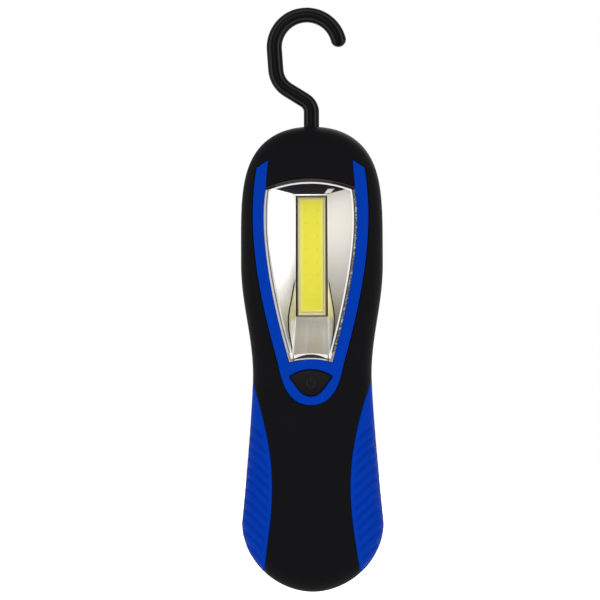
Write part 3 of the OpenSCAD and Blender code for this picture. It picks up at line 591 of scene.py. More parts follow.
def lens_finish():
    """Clear plastic, see-through in the middle, with gloss towards grazing angles. Its rim is painted with
    the light and shade seen in a lens's edge: from the outside in, a pale band, a thin dark line and a white
    line, a painted reflection, painted shade and a painted highlight. The band is painted dark along the top
    and right as shade, with painted specks of light on the right, and the foot shows a painted dark crescent
    between two painted white lines. Tone is the distance from the edge."""
    f = Finish("lens_clear", Specular_IOR_Level=0.1, Roughness=0.05)
    edge = f.tone()
    x, _, z = f.axes()
    top, foot, right = z.ramp(22.4, 22.8), 1 - z.ramp(-47.4, -46.9), x.ramp(2.0, 8.0)
    outer, line, white = 1 - edge.ramp(0.95, 1.1), between(edge, 1.05, 1.55), between(edge, 1.55, 2.25, 0.1)
    # Specks of painted light in the rim band on the right.
    painted_sparkle = f.noise(1.1, 4).ramp(0.48, 0.62)
    dim = f.blend(painted_sparkle, (0.1, 0.11, 0.12), (0.55, 0.6, 0.58))
    band = f.blend(right, (0.66, 0.66, 0.67), dim)
    # A brown line in the dark top band, part of the painted rim.
    brown = between(edge, 0.2, 0.4, 0.1)
    band = f.blend(top, band, f.blend(brown, (0.004, 0.004, 0.005), (0.1, 0.07, 0.055)))
    colour = f.blend(outer, f.blend((right + top).clamp(), (0.13, 0.125, 0.12), (0.012, 0.011, 0.01)), band)
    # Painted reflection in the white line on the left, with darker lines along it.
    painted_streaks = f.noise(0.5, 3, (1, 1, 0.15)).ramp(0.4, 0.6)
    pale = f.blend(right, f.blend(painted_streaks, (0.5, 0.48, 0.46), (0.75, 0.73, 0.71)), (0.95, 0.94, 0.92))
    colour = f.blend(white, colour, f.blend(top, pale, (0.95, 0.94, 0.92)))
    # The foot's dark crescent and arcs, and its corners with small dark lines: painted shade and reflection.
    arc = edge.ramp(0.5, 0.65) * (1 - (edge + x * x * 0.025).ramp(2.0, 2.3))
    arc = arc + between(x * x, 53.0, 60.0, 1.5) * 0.8
    corner = (x * x).ramp(38, 50) * between(edge, 0.3, 1.2, 0.3) * f.noise(0.9, 3).ramp(0.25, 0.42)
    low = f.blend(corner * 0.85, (0.84, 0.8, 0.77), (0.16, 0.135, 0.105))
    low = f.blend(arc.clamp(), low, (0.02, 0.011, 0.009))
    colour = f.blend(foot, colour, low)
    clear = (outer * (top * 0.3 + 0.7) + line * (top * 0.2 + 0.85) + white * 0.75) * (1 - foot)
    gloss = f.node("ShaderNodeLayerWeight", {}, {"Blend": 0.5}, output="Facing") ** 4.0
    alpha = clear + foot * (1 - edge.ramp(2.45, 2.65)) * 0.95 + gloss * 0.35 + 0.01
    f.feed(Base_Color=colour, Alpha=alpha.clamp())
    return f.material


def screw_finish():
    """Plated steel, painted dark down in the cross of each head, as shade."""
    f = Finish("casing_screw", Metallic=1.0)
    lines, slow = f.noise(2.0, 4), f.noise(0.12, 3)
    _, y, _ = f.axes()
    # Below the head's face the colour is painted dark: shade in the cross.
    f.feed(Base_Color=f.blend(y.ramp(-3.2, -2.8), (0.02, 0.02, 0.022), (0.42, 0.42, 0.44)),
           Roughness=lines * 0.16 + slow * 0.05 + 0.28, Normal=f.bump(lines, 0.006))
    return f.material


board_cream, casing_screw = board_finish(), screw_finish()
phosphor_yellow, bright_reflector, lens_clear = phosphor_finish(), reflector_finish(), lens_finish()
cell_wrap = moulded("cell_wrap", (0.03, 0.032, 0.036), (0.02, 0.021, 0.024), 0.3, relief=0.003, specular=0.5)


# ---------- Casing ----------

def both(line):
    """Distance from a line or from its mirror image, whichever is nearer, as a function of (x, z)."""
    return lambda p: np.minimum(nearest(p, line), nearest(p * [-1, 1], line))


fine_grip = resample(grip_edge, 3000)
inside = level(fine_grip[:, 0], fine_grip[:, 1]) < 1
grip_line = fine_grip[inside.argmax():len(inside) - inside[::-1].argmax()]
grip_line[[0, -1], 0] = half_at(grip_line[[0, -1], 1])
above, below = OUTLINE[:, 1] > grip_line[0, 1], OUTLINE[:, 1] < grip_line[-1, 1]
grip_outer = OUTLINE[~above & ~below]
grip_outer = join(grip_line[:1], grip_outer, grip_line[-1:])
off_grip = both(grip_line)

x = np.linspace(0, LENS_TOP_HALF, 80)
lens_arch = points(x, lens_top_z(x))
ARM_TIP = np.array([18.3, 185.5])
bezel_right = join([ARM_TIP], bezel_side, bezel_under[1:])
opening = join(lens_arch[:-1], [(LENS_TOP_HALF + FIT, LENS_TOP + FIT)], bezel_right)
opening = grown(both_halves(opening), FIT)[:len(opening)]
off_opening = both(opening)

# Steps inwards of the ledge at the parting plane.
LEDGE = (0.35, 1.6)
# The opening in the front and the black front's outer edge, matched point by point.
inner_keys = [opening[0], opening[79], opening[80], opening[81], (24.4, 160), (20.6, 130), ELBOW,
              (13.5, 93.8), (8.6, 84.3), (4.2, 81.1), opening[-1]]
outer_keys = [(0, 200), (13.2, 199.8), (17.4, 199), (27.3, 189.5), (30.4, 160), (29.6, 130), (26.2, 102),
              grip_line[0], (16.8, 46), grip_line[-1], (0, 0)]
counts = [34, 26, 14, 26, 34, 38, 12, 22, 30, 22]
black_edge = join(OUTLINE[above], grip_line, OUTLINE[below])
inner, outer = keyed(opening, inner_keys, counts), keyed(black_edge, outer_keys, counts)
on_grip = unit(1 - nearest(outer, grip_line[60:-60]) / 1.5)
on_grip = np.convolve(np.pad(on_grip, 4, mode="edge"), np.ones(9) / 9, "valid")
lay = ruled(inner, outer, 34, 1.0, 0.06 + 0.94 * on_grip, 2.3 - 1.2 * on_grip)
lay = join(lay, lay[:, -2:0:-1] * [-1, 1], axis=1)
sheet = on_front(lay, 0, np.maximum(rounding(off_opening(lay), EDGE_ROUND), rounding(off_grip(lay), 0.3)))
sheet[..., 1] = np.minimum(sheet[..., 1], PART_Y - SEAM)
front = Skin()
front.grid(sheet, FRONT, ring=True)
loop_in, loop_out = lay[0], lay[-1]
skirt(front, loop_in, 0, EDGE_ROUND, 3.0, inward=-1)
into = lay[-6] - loop_out
into /= norm(into)[:, None]
ledge = [at_depth(loop_out + into * d, PART_Y) for d in LEDGE]
under_grip = [on_front(loop_out, 0, 0.75), on_front(loop_out, 0, 1.3)]
near_grip = (off_grip(loop_out) < 0.02)[:, None]
rows = np.stack([sheet[-1]] + [np.where(near_grip, g, e) for g, e in zip(under_grip, ledge)])
front.grid(rows, BACK, ring=True)
TONGUE_IN, TONGUE = 0.6, 1.5
tongue = straight_back(grown(both_halves(OUTLINE), -TONGUE_IN)[::4], (PART_Y - TONGUE, PART_Y + TONGUE))
front.grid(tongue, tongue - tongue.mean((0, 1)), ring=True)
# The handle's lining: the front's surface carried in by 2, turned down to the parting plane by the outline.
LINING_IN, LINING_SIDE, LINING_SEAM, BEHIND_BUTTON, BUTTON_ROOM = 2.0, 1.7, 0.3, 79, 16
lining_z = np.linspace(4, 94, 96)[:, None]
lining_x = np.linspace(-1, 1, 60) * (half_at(lining_z) - LINING_SIDE)
seam_x = half_at(lining_z) - LINING_SEAM
lining_x = join(-seam_x, lining_x[:, :1], lining_x, lining_x[:, -1:], seam_x, axis=1)
lining = on_front(points(lining_x, lining_z), 0, LINING_IN)
lining[..., 1] = np.minimum(lining[..., 1], PART_Y - SEAM)
lining[:, [0, 1, -2, -1], 1] = PART_Y + 0.03
front.grid(lining, BACK, keep=(lining_z[1:] < BEHIND_BUTTON) | (abs(lining_x[1:, 1:]) > BUTTON_ROOM))
front.build("front_casing", soft_black, "housing", ["front_shell"], closed=True)


# ---------- Side grips ----------

RIB_PITCH, RIB_DEPTH, RIB_HALF, RIBS, RIB_MARGIN = 4.8, 0.42, 0.95, 12, 1.5


def ribs(x, z, edge):
    """Depth of the ribs: rounded grooves that climb outwards at 45 degrees, and fade at the grip's margin."""
    phase = (z - 10 - (np.abs(x) - 22)) / RIB_PITCH
    groove = unit(np.abs(phase - np.round(phase)) * RIB_PITCH * 0.7071 / RIB_HALF)
    span = unit((edge - RIB_MARGIN) / 0.35) * unit((phase + 0.6) / 0.2) * unit((RIBS + 0.4 - phase) / 0.2)
    return RIB_DEPTH * (1 - groove ** 2) * span


def side_grip(name, node, side):
    """Sheet from the grip's inner edge to the casing's outline, with ribs sunk along the surface's normal."""
    a, b = resample(grip_line, 420), resample(grip_outer, 420)
    width = norm(b - a)
    a = a + np.minimum(FIT, width * 0.2)[:, None] * (b - a) / np.maximum(width, 1e-9)[:, None]
    p = ruled(a, b, 44, 1.0, 0.06, 1.9)
    edge = nearest(p, grip_line) - FIT
    depth = ribs(p[..., 0], p[..., 1], edge)
    top = on_front(p, 0, rounding(edge, EDGE_ROUND) + depth)
    top[..., 1] = np.minimum(top[..., 1], PART_Y - SEAM)
    mirror = [side, 1, 1]
    grip = Skin()
    # Tone is the ribs' depth: the grooves take the grip's darker low colour, painted shade.
    grip.grid(top * mirror, FRONT, tone=depth / RIB_DEPTH)
    rim = on_front(p[0], 0, 1.1)
    grip.grid(np.stack([top[0], rim]) * mirror, (-side, 0, 0))
    into = (a - b) / np.maximum(norm(a - b), 1e-6)[:, None]
    rows = [at_depth(b + into * np.minimum(d, width * 0.3)[:, None], PART_Y) for d in LEDGE]
    grip.grid(np.stack([top[-1], *rows]) * mirror, BACK)
    grip.build(name, grip_blue, "housing", [node])


side_grip("grip_pad_right", "grip_right", 1)
side_grip("grip_pad_left", "grip_left", -1)


# ---------- Bezel ----------

x = np.linspace(LENS_FOOT_HALF, 0, 60)
foot_arch = points(x, lens_foot_z(x))
lens_right = join(lens_arch, lens_side[1:], foot_arch[1:])
lens_out = grown(both_halves(lens_right), FIT)[:len(lens_right)]
corner, lens_foot = len(lens_arch) - 1, len(lens_arch) + len(lens_side) - 2
button_right = button_half(120)
button_out = grown(both_halves(button_right), SLIDE)[:len(button_right)]
button_corner = 126
bridge = np.linspace(lens_out[lens_foot], button_out[button_corner], 60)
bezel_in = join(np.linspace(ARM_TIP, lens_out[corner], 60), lens_out[corner + 1:lens_foot + 1],
                bridge[1:], button_out[button_corner + 1:])
in_keys = [ARM_TIP, (18.6, 181.5), lens_out[corner], (21.4, 160), (17.4, 130), lens_out[lens_foot],
           button_out[button_corner], (6.5, 87.2), button_out[-1]]
out_keys = [ARM_TIP, bezel_side[0], (24.6, 172.5), (24.55, 158), (20.3, 128), (14.25, 99), (13.3, 93.2),
            (9.4, 85.2), bezel_under[-1]]
sections = [16, 20, 40, 60, 64, 14, 24, 22]
arm_in, arm_out = keyed(bezel_in, in_keys, sections), keyed(bezel_right, out_keys, sections)
arm = ruled(arm_in, arm_out, 12)
bar_top = keyed(lens_out, [lens_out[lens_foot], lens_out[-1]], [24])
bar_foot = keyed(button_out, [button_out[button_corner], button_out[0]], [24])
bar = ruled(bar_top, bar_foot, 4)
round_lens = join(np.linspace(ARM_TIP, lens_out[corner], 200), lens_out[corner:])
edges = [both(bezel_right), both(round_lens), both(button_out)]
BEZEL_LIFT, BEZEL_ROUND = 0.3, 0.4
by_lens, by_button = slice(0, sum(sections[:5]) + 1), slice(sum(sections[:6]), None)
bezel = Skin()
for side in (1, -1):
    for part in (arm, bar):
        part = part * [side, 1]
        drop = np.max([rounding(off_edge(part), BEZEL_ROUND) for off_edge in edges], 0)
        bezel.grid(on_front(part, BEZEL_LIFT, drop), FRONT)
    for line, depth, inward in ((arm_out, 2.2, side), (arm_in[by_lens], 2.2, -side),
                                (arm_in[by_button], 2.6, -side), (bar_top, 2.2, -side),
                                (bar_foot, 2.6, side)):
        skirt(bezel, line * [side, 1], BEZEL_LIFT, BEZEL_ROUND, depth, ring=False, inward=inward)
bezel.build("lens_bezel", bezel_blue, "housing", ["bezel"], closed=True)


# ---------- Button ----------

BUTTON_LIFT, BUTTON_ROUND = 0.8, 0.55
button_loop = both_halves(keyed(button_right, button_right[[0, 119, 130, -1]], [46, 10, 60]))
button_mid = np.array([0, 90.6])
share = join(np.linspace(0, 0.9, 16), [0.93, 0.955, 0.975, 0.99, 1])[:, None, None]
cap = button_mid + (button_loop - button_mid) * share
cap_off = nearest(cap, join(button_loop, button_loop[:1]))
# Tone 1, the darker black: painted shade along the edge, where the gap round the button falls dark, and a
# growing share of it towards the foot.
cap_painted_shade = np.maximum(unit((95.5 - cap[..., 1]) / 11) * 0.6, 1 - unit(cap_off / 0.5))
push = Skin()
push.grid(on_front(cap, BUTTON_LIFT, rounding(cap_off, BUTTON_ROUND)), FRONT, ring=True,
          tone=cap_painted_shade)
skirt(push, button_loop, BUTTON_LIFT, BUTTON_ROUND, 3.2)
push.build("push_button", button_black, "button", ["button"], closed=True)

SIGN_R, SIGN_Z, SIGN_HALF, SIGN_LIFT = 1.75, 90.0, 0.26, 0.1


def raised_band(path):
    """Strip along a path on the button: a flat-topped bead that stands a little proud of it."""
    step = np.gradient(path, axis=0)
    across = points(-step[:, 1], step[:, 0]) / norm(step)[:, None]
    u = np.array([-1.0, -0.75, -0.4, 0, 0.4, 0.75, 1.0])[:, None, None]
    top = on_front(path + across * u * SIGN_HALF, BUTTON_LIFT, 0.02)
    top[..., 1] -= SIGN_LIFT * (1 - u[..., 0] ** 4)
    return top


sign = Skin()
turn = np.radians(np.linspace(-140, 140, 60))
sign.grid(raised_band(points(SIGN_R * np.sin(turn), SIGN_Z - SIGN_R * np.cos(turn))), FRONT)
sign.grid(raised_band(points(0.0, np.linspace(SIGN_Z + 0.2, SIGN_Z + 2.3, 12))), FRONT)
sign.build("button_sign", sign_black, "button")


# ---------- Lens ----------

LENS_SINK, LENS_ROUND = -0.3, 0.45
lens_loop = both_halves(keyed(lens_right, lens_right[[0, corner, lens_foot, -1]], [60, 150, 30]))
lens_line = join(lens_loop, lens_loop[:1])
spine = points(0.0, np.clip(lens_loop[:, 1], 112, 160))
outwards = (lens_loop - spine) / norm(lens_loop - spine)[:, None]
insets = (0, 0.1, 0.2, 0.3, 0.4, 0.5, 0.6, 0.8, 0.95, 1.05, 1.15, 1.3, 1.45, 1.6, 1.75, 1.9, 2.1, 2.35,
          2.7, 3.2)
rings = [lens_loop - outwards * d for d in insets]
rings += [spine + (rings[-1] - spine) * f for f in np.linspace(1, 0, 22)[1:]]
rings = np.stack(rings)
edge = nearest(rings, lens_line)
pane = Skin()
pane.grid(on_front(rings, LENS_SINK, rounding(edge, LENS_ROUND)), FRONT, ring=True, tone=edge)
side_rows = np.stack([on_front(lens_loop, LENS_SINK, d) for d in (LENS_ROUND, 1.5, 2.9)])
pane.grid(side_rows, side_rows - side_rows.mean((0, 1)), ring=True)
pane.build("clear_lens", lens_clear, "housing", ["lens"], closed=True)


# ---------- Reflector ----------

# The rim's inset and depth, the floor's depth, and the bowl's foot.
RIM, RIM_Y, FLOOR_Y, BOWL_FOOT = 1.3, -26.0, -18.1, 99.0
# The window for the strip: its half width, its ends, and the strip's middle.
WINDOW, WINDOW_LOW, WINDOW_TOP, STRIP_Z = 6.95, 118.3, 170.4, 144.6
# The crease's height over the window, and its slant to the corners.
CREASE, CREASE_RUN, CREASE_CLIMB = 170.85, 7.85, 2.1
# The ramp's length and spread, and the scoop's step and top.
RAMP, RAMP_SPREAD, SCOOP, SCOOP_TOP = 17.0, 0.9, 0.9, 134


def ramp_share(z):
    """How far down the ramp a height lies: 0 at the window's foot and 1 at the ramp's end."""
    return unit((WINDOW_LOW - z) / RAMP)


def crease_z(x):
    """Line where the steep top wall meets the sides: level over the window, then up to the corners."""
    return CREASE + unit((np.abs(x) - WINDOW) / CREASE_RUN) * CREASE_CLIMB


def horn_x(z):
    """Half width of the scoop round the strip's foot: out to 9.8 beside the window's foot, then in again."""
    return np.interp(z, [101, 103, 106, 109.5, 113, 116, 118.5, 122, 126, 130, 134, 200],
                     [8.1, 8.2, 8.5, 9.2, 9.75, 9.95, 9.9, 9.4, 8.6, 7.9, 7.25, 7.1])


def bowl_y(x, z):
    """Depth of the bowl: straight walls from the rim to the window, a ramp below it, and a scoop step."""
    half = lens_half(z) - RIM
    low = ramp_share(z)
    floor = FLOOR_Y + (RIM_Y - FLOOR_Y) * low ** 1.25
    inner = WINDOW + low * RAMP_SPREAD
    s = unit((half - np.abs(x)) / np.maximum(half - inner, 0.3))
    y = RIM_Y + (floor - RIM_Y) * s ** 0.92
    deep = unit((horn_x(z) - np.abs(x)) / 0.2 + 0.5)
    fade = unit((SCOOP_TOP - z) / 6) * unit((z - 101.5) / 4)
    return y + SCOOP * fade * deep * unit(1 - s) ** 0.5


bowl = Skin()
heights = join(np.linspace(BOWL_FOOT, WINDOW_LOW, 50)[:-1],
               np.linspace(WINDOW_LOW, SCOOP_TOP, 46)[:-1],
               np.linspace(SCOOP_TOP, WINDOW_TOP, 40), [CREASE])
for side in (1, -1):
    # The side wall, with closer columns on each side of the scoop's edge, which is painted dark as shade
    # along the crease.
    z = heights[:, None]
    half = lens_half(z) - RIM
    horn = np.minimum(horn_x(z), half - 0.4)
    inner_x = np.minimum(WINDOW + ramp_share(z) * RAMP_SPREAD, horn - 0.35)
    x = join(inner_x + (horn - 0.32 - inner_x) * np.linspace(0, 1, 8),
             horn - 0.22, horn, horn + 0.22,
             horn + 0.32 + (half - horn - 0.32) * np.linspace(0, 1, 26), axis=1)
    zz = z + 0 * x
    zz[-1] = crease_z(x[-1])
    tone = (np.abs(x - horn) < 0.25) * unit((135 - zz) / 3) * unit((zz - 103) / 2)
    bowl.grid(points(x * side, bowl_y(x, zz), zz), FRONT, tone=tone)
    # The sill over the window, and the steep top wall, painted dark as a reflection, with a painted white
    # highlight.
    cols = join(np.linspace(0, 1, 24)[:-1] * WINDOW, x[-1])
    bowl.grid(points(cols[:24] * side, FLOOR_Y, np.array([[WINDOW_TOP], [CREASE]])), FRONT)
    t = join([0, 0.012, 0.03], np.linspace(0.08, 0.93, 14), [0.97, 1])[:, None]
    arch = np.maximum(lens_top_z(cols) - RIM, crease_z(cols) + 0.02)
    side_depth = bowl_y(np.maximum(cols, WINDOW), crease_z(cols))
    zt = crease_z(cols) + (arch - crease_z(cols)) * t
    yt = side_depth + (RIM_Y - side_depth) * t ** 0.8
    # Tone 1 paints the top wall's dark reflection, and -2 a white highlight, both painted.
    shade = unit((15.6 - cols) / 0.5) * (t > 0.005) * (t < 0.98)
    painted_glint = (np.abs(cols * side - 6.8 - 4.2 * t) < 1.5) & (t > 0.05) & (t < 0.45)
    bowl.grid(points(cols * side, yt, zt), FRONT, tone=np.where(painted_glint, -2.0, shade))
    # The ramp under the window, a little hollow across. Its tone of -1, all but a thin strip at each side,
    # paints a dull grey reflection.
    z = np.linspace(BOWL_FOOT, WINDOW_LOW, 40)[:, None]
    x = np.linspace(0, 1, 24) * (WINDOW + ramp_share(z) * RAMP_SPREAD)
    belly = 0.5 * (1 - (x / x[:, -1:]) ** 2) * unit((z - 101) / 6)
    bowl.grid(points(x * side, bowl_y(0 * x, z) + belly, z), FRONT, tone=-unit((x[:, -1:] - x) / 0.3))
window = np.array([[-WINDOW, WINDOW_LOW], [-WINDOW, WINDOW_TOP], [WINDOW, WINDOW_TOP], [WINDOW, WINDOW_LOW]])
window = join(*(np.linspace(window[k], window[(k + 1) % 4], 24, endpoint=False) for k in range(4)))
rows = straight_back(window, (FLOOR_Y, FLOOR_Y + 1.1))
bowl.grid(rows, [0, 0, STRIP_Z] - rows, ring=True)
# The flange under the lens: inset, depth and tone of each row. The tone of 0.9 paints a thin dark line of
# shade round it.
flange = np.array([[0, -25.6, 0], [0.5, -25.8, 0], [0.9, -25.9, 0], [1.15, -25.95, 0], [1.35, -25.99, 0.9],
                   [1.5, -26.0, 0]])[:, :, None]
bowl.grid(at_depth(lens_loop - outwards * flange[:, :1], flange[:, 1]), FRONT, ring=True,
          tone=np.repeat(flange[:, 2], len(lens_loop), 1))
plating = bowl.build("light_reflector", bright_reflector, "housing", ["reflector"], sharp=30)


# ---------- Strip of light ----------

def phosphor_pad():
    """Pillow over the chips: flat on top, and falling as a square root to the board at its rim. Its tone is
    the distance from the nearest chip."""
    half, tall, board_y, pitch = 5.2, 24.5, -16.9, 5.6
    x, z = np.meshgrid(np.linspace(-1, 1, 90) * half, np.linspace(-1, 1, 320) * tall)
    rim = np.minimum(half - np.abs(x), tall - np.abs(z))
    y = board_y - 0.7 * unit(rim / 0.5) ** 0.5 - 0.04
    row = np.clip(np.round(z / pitch + 3.5), 0, 7)
    dot = np.hypot(np.abs(x) - 2.5, z - (row - 3.5) * pitch)
    pad = Skin()
    pad.grid(points(x, y, z + STRIP_Z), FRONT, tone=np.clip(dot, 0, 2))
    return pad.build("phosphor_strip", phosphor_yellow, "housing", ["led_phosphor", "led_chips"])


phosphor_pad()


# ---------- Back of the casing ----------

def polar_table(line, z):
    """Angles and radii of a line of points, seen from the middle at a height."""
    return np.arctan2(line[:, 0], line[:, 1] - z), np.hypot(line[:, 0], line[:, 1] - z)


def radius_to_outline(s, p):
    """How far the outline lies from the spine point s, in the direction of p: from its polar tables."""
    v = p - s
    angle = np.arctan2(np.abs(v[..., 0]), v[..., 1])
    top = np.interp(angle, *polar_table(resample(OUTLINE[OUTLINE[:, 1] >= HEAD_Z], 8000), HEAD_Z))
    low = np.interp(angle, *polar_table(OUTLINE[OUTLINE[:, 1] <= GRIP_Z], GRIP_Z))
    return np.where(p[..., 1] > HEAD_Z, top, np.where(p[..., 1] < GRIP_Z, low, side_w(p[..., 1]) / 2))


def on_back(p, drop=0.0):
    """Points of the back over (x, z): flat, with a quarter-ellipse rounding down to the parting plane."""
    s = points(0.0, np.clip(p[..., 1], GRIP_Z, HEAD_Z))
    d = np.clip(radius_to_outline(s, p) - norm(p - s), 0, BACK_ROUND)
    y = PART_Y - PART_Y * np.sqrt(unit(1 - (1 - d / BACK_ROUND) ** 2))
    return at_depth(p, np.maximum(y - drop, PART_Y + SEAM))


def hole_patch(skin, border, centre, r, drop_to):
    """Sheet from a round hole's rounded edge out to the border points round it, and the hole's wall."""
    away = (border - centre) / norm(border - centre)[:, None]
    steps = np.array([0, 0.06, 0.18, EDGE_ROUND])[:, None, None]
    near = centre + away * (r + steps)
    t = np.linspace(0, 1, 7)[1:, None, None]
    p = join(near, near[-1] + (border - near[-1]) * t)
    skin.grid(on_back(p, rounding(norm(p - centre) - r, EDGE_ROUND)), BACK, ring=True)
    skin.grid(straight_back(near[0], (-EDGE_ROUND, drop_to)), -at_depth(away, 0.0), ring=True)


# The bay's opening: its upper part, and its wider foot.
BAY_HALF, BAY_TOP, BAY_FOOT_HALF, BAY_FOOT_TOP = 18.5, 80.0, 20.5, 22.0
CUP_R, SCREW_R, SCREW_PLACES = 11.15, 2.75, ((19.5, 163), (15.5, 104), (-19.5, 163), (-15.5, 104))
back = Skin()
side_x = side_w(BAY_TOP) / 2
slope = 1 - np.cos(np.linspace(0, np.pi / 2, 19))
upper = join(OUTLINE[OUTLINE[:, 1] > BAY_TOP], [[side_x, BAY_TOP]])
upper = keyed(upper, [(0, 200), (27.5, 189), (30.5, 150), upper[-1]], [30, 40, 66])
right = join(upper, points(side_x - (side_x - BAY_HALF) * slope[1:], BAY_TOP),
             points(np.linspace(BAY_HALF, 0, 20)[1:], BAY_TOP))
edge_loop = both_halves(right)
centre = np.array([0, MAGNET_Z])
angle = np.unwrap(np.arctan2(edge_loop[:, 0], edge_loop[:, 1] - MAGNET_Z))
hole_line = centre + CUP_R * points(np.sin(angle), np.cos(angle))
t = np.sin(np.linspace(0.03, np.pi / 2, 44))[:, None, None]
lay_back = join(hole_line[None], hole_line + (edge_loop - hole_line) * t)
keep = np.ones((len(lay_back) - 1, len(edge_loop)), bool)
# Round each screw, the rows and columns nearer than CLEAR are left out, and a patch with its hole goes in.
CLEAR = 3.5
for screw in SCREW_PLACES:
    far = norm(lay_back - screw)
    i, j = np.unravel_index(far.argmin(), far.shape)
    di = dj = 2
    while far[[i - di, i + di], j - dj:j + dj].min() < CLEAR:
        di += 1
    while far[i - di:i + di, [j - dj, j + dj]].min() < CLEAR:
        dj += 1
    i0, i1, j0, j1 = i - di, i + di, j - dj, j + dj
    keep[i0:i1, j0:j1] = False
    border = join(lay_back[i0, j0:j1], lay_back[i0:i1, j1], lay_back[i1, j1:j0:-1],
                  lay_back[i1:i0:-1, j0])
    hole_patch(back, border, np.array(screw), SCREW_R, -4.6)
lip = norm(lay_back - centre) - CUP_R
back.grid(on_back(lay_back, rounding(lip, EDGE_ROUND)), BACK, ring=True, keep=keep)
cup_wall = straight_back(hole_line, (-EDGE_ROUND, -4.8))
back.grid(cup_wall, [0, 0, MAGNET_Z] - cup_wall, ring=True)
for side in (1, -1):
    for z, inner_x in ((np.linspace(BAY_TOP, BAY_FOOT_TOP, 90), BAY_HALF),
                       (np.linspace(BAY_FOOT_TOP, 8.25, 40), BAY_FOOT_HALF)):
        half = half_at(z)[:, None]
        x = half - (half - np.minimum(inner_x, half)) * slope
        back.grid(on_back(points(x * side, z[:, None])), BACK)
back.build("back_casing", soft_black, "housing", ["rear_shell"], wall=SHELL)


# ---------- Battery door ----------

def finger_grooves(p):
    """Four shallow grooves across the door's upper end, 3 apart and 16 wide, with soft ends."""
    first, pitch, half_width, half_length, depth = 71.7, 3, 0.8, 8.4, 0.55
    k = np.clip(np.round((first - p[..., 1]) / pitch), 0, 3)
    across = unit(1 - np.abs(p[..., 1] - (first - pitch * k)) / half_width)
    ends = unit((half_length - np.abs(p[..., 0])) / half_width)
    return depth * np.sin(across * ends * np.pi / 2) ** 0.8


door = Skin()
half, top_z, foot_half, foot_top = (v - SLIDE for v in (BAY_HALF, BAY_TOP, BAY_FOOT_HALF, BAY_FOOT_TOP))
across = np.array([-1, -0.997, -0.99, -0.98, *np.linspace(-0.95, 0.95, 45), 0.98, 0.99, 0.997, 1]) * half
up = join(top_z - np.array([0, 0.06, 0.18, EDGE_ROUND]), np.linspace(top_z - 1, 60, 110),
          np.linspace(58.5, foot_top, 26))
p = points(across, up[:, None])
edge = np.minimum(half - np.abs(p[..., 0]), top_z - p[..., 1])
door.grid(on_back(p, np.maximum(rounding(edge, EDGE_ROUND), finger_grooves(p))), BACK)
wide = join([-foot_half, -19.4, -18.8], across, [18.8, 19.4, foot_half])
low_right = OUTLINE[(OUTLINE[:, 1] < GRIP_Z) & (OUTLINE[:, 0] < foot_half)]
low_line = join(low_right * [-1, 1], low_right[::-1])
low_edge = points(wide, np.interp(wide, *low_line.T))
high_edge = points(wide, foot_top)
t = np.sin(np.linspace(0, np.pi / 2, 40))[:, None, None]
door.grid(on_back(high_edge + (low_edge - high_edge) * t), BACK)
door.build("bay_door", soft_black, "battery_door", ["battery_door"], wall=SHELL)


# ---------- Hook ----------

def bend(e, turn, r, n):
    """Arc of a path in X and Z from an end (x, z, heading), turning to the right by an angle in degrees."""
    a, h = np.radians(turn) * np.linspace(0, 1, n + 1)[1:], np.radians(e[2])
    s = np.sign(turn)
    return points(e[0] + s * r * (np.cos(h) - np.cos(h + a)), e[1] - s * r * (np.sin(h) - np.sin(h + a)),
                  e[2] + np.degrees(a))


def straight(e, length, n):
    """Straight stretch of a path from an end."""
    d = length * np.linspace(0, 1, n + 1)[1:]
    h = np.radians(e[2])
    return points(e[0] + d * np.sin(h), e[1] + d * np.cos(h), e[2])


ROD, HOOK_FOOT, COLLAR_Z = 3.32, 187.0, 191.7
path = np.array([[0, HOOK_FOOT, 0]])
for kind, *sizes in ((straight, 19.2, 8), (bend, -58, 6.2, 20), (straight, 8.5, 4), (bend, 54, 11, 24),
                     (straight, 8.6, 4), (bend, 170, 14, 64)):
    path = join(path, kind(path[-1], *sizes))
tip_turn = np.radians(np.linspace(0, 88, 12)[1:])
x, z, heading = path[-1]
h = np.radians(heading)
cap = points(x + ROD * np.sin(tip_turn) * np.sin(h), z + ROD * np.sin(tip_turn) * np.cos(h), heading)
thick = join(np.full(len(path), ROD), ROD * np.cos(tip_turn))[:, None]
path = join(path, cap)
round_turn = np.linspace(0, 2 * np.pi, 72, endpoint=False)
h = np.radians(path[:, 2])[:, None]
wide = thick * np.cos(round_turn)
rod = Skin()
rod_grid = points(path[:, :1] + wide * np.cos(h), PART_Y + thick * np.sin(round_turn),
                  path[:, 1:2] - wide * np.sin(h))
# Tone 1 along two lines on the front and two on the back: painted highlights, where the rod's shine is
# painted in its lighter low colour.
painted_highlight_lines = np.exp(-((abs(np.cos(round_turn)) - 0.55) / 0.1) ** 2) * (thick / ROD) ** 2
rod.grid(rod_grid, rod_grid - at_depth(path, PART_Y)[:, None], ring=True, tone=painted_highlight_lines)
# Radius and height of the collar's corners.
r, z = np.array([[3.25, 190.55], [5.65, 190.55], [5.9, 190.8], [5.9, 192.6], [5.65, 192.85],
                 [3.25, 192.85]]).T[:, :, None]
turned = points(r * np.cos(round_turn), PART_Y + r * np.sin(round_turn), z)
rod.grid(turned, turned - [0, PART_Y, COLLAR_Z], ring=True)
rod.build("swivel_hook", rod_black, "hook", ["hook"], closed=True)


# ---------- Carried parts ----------

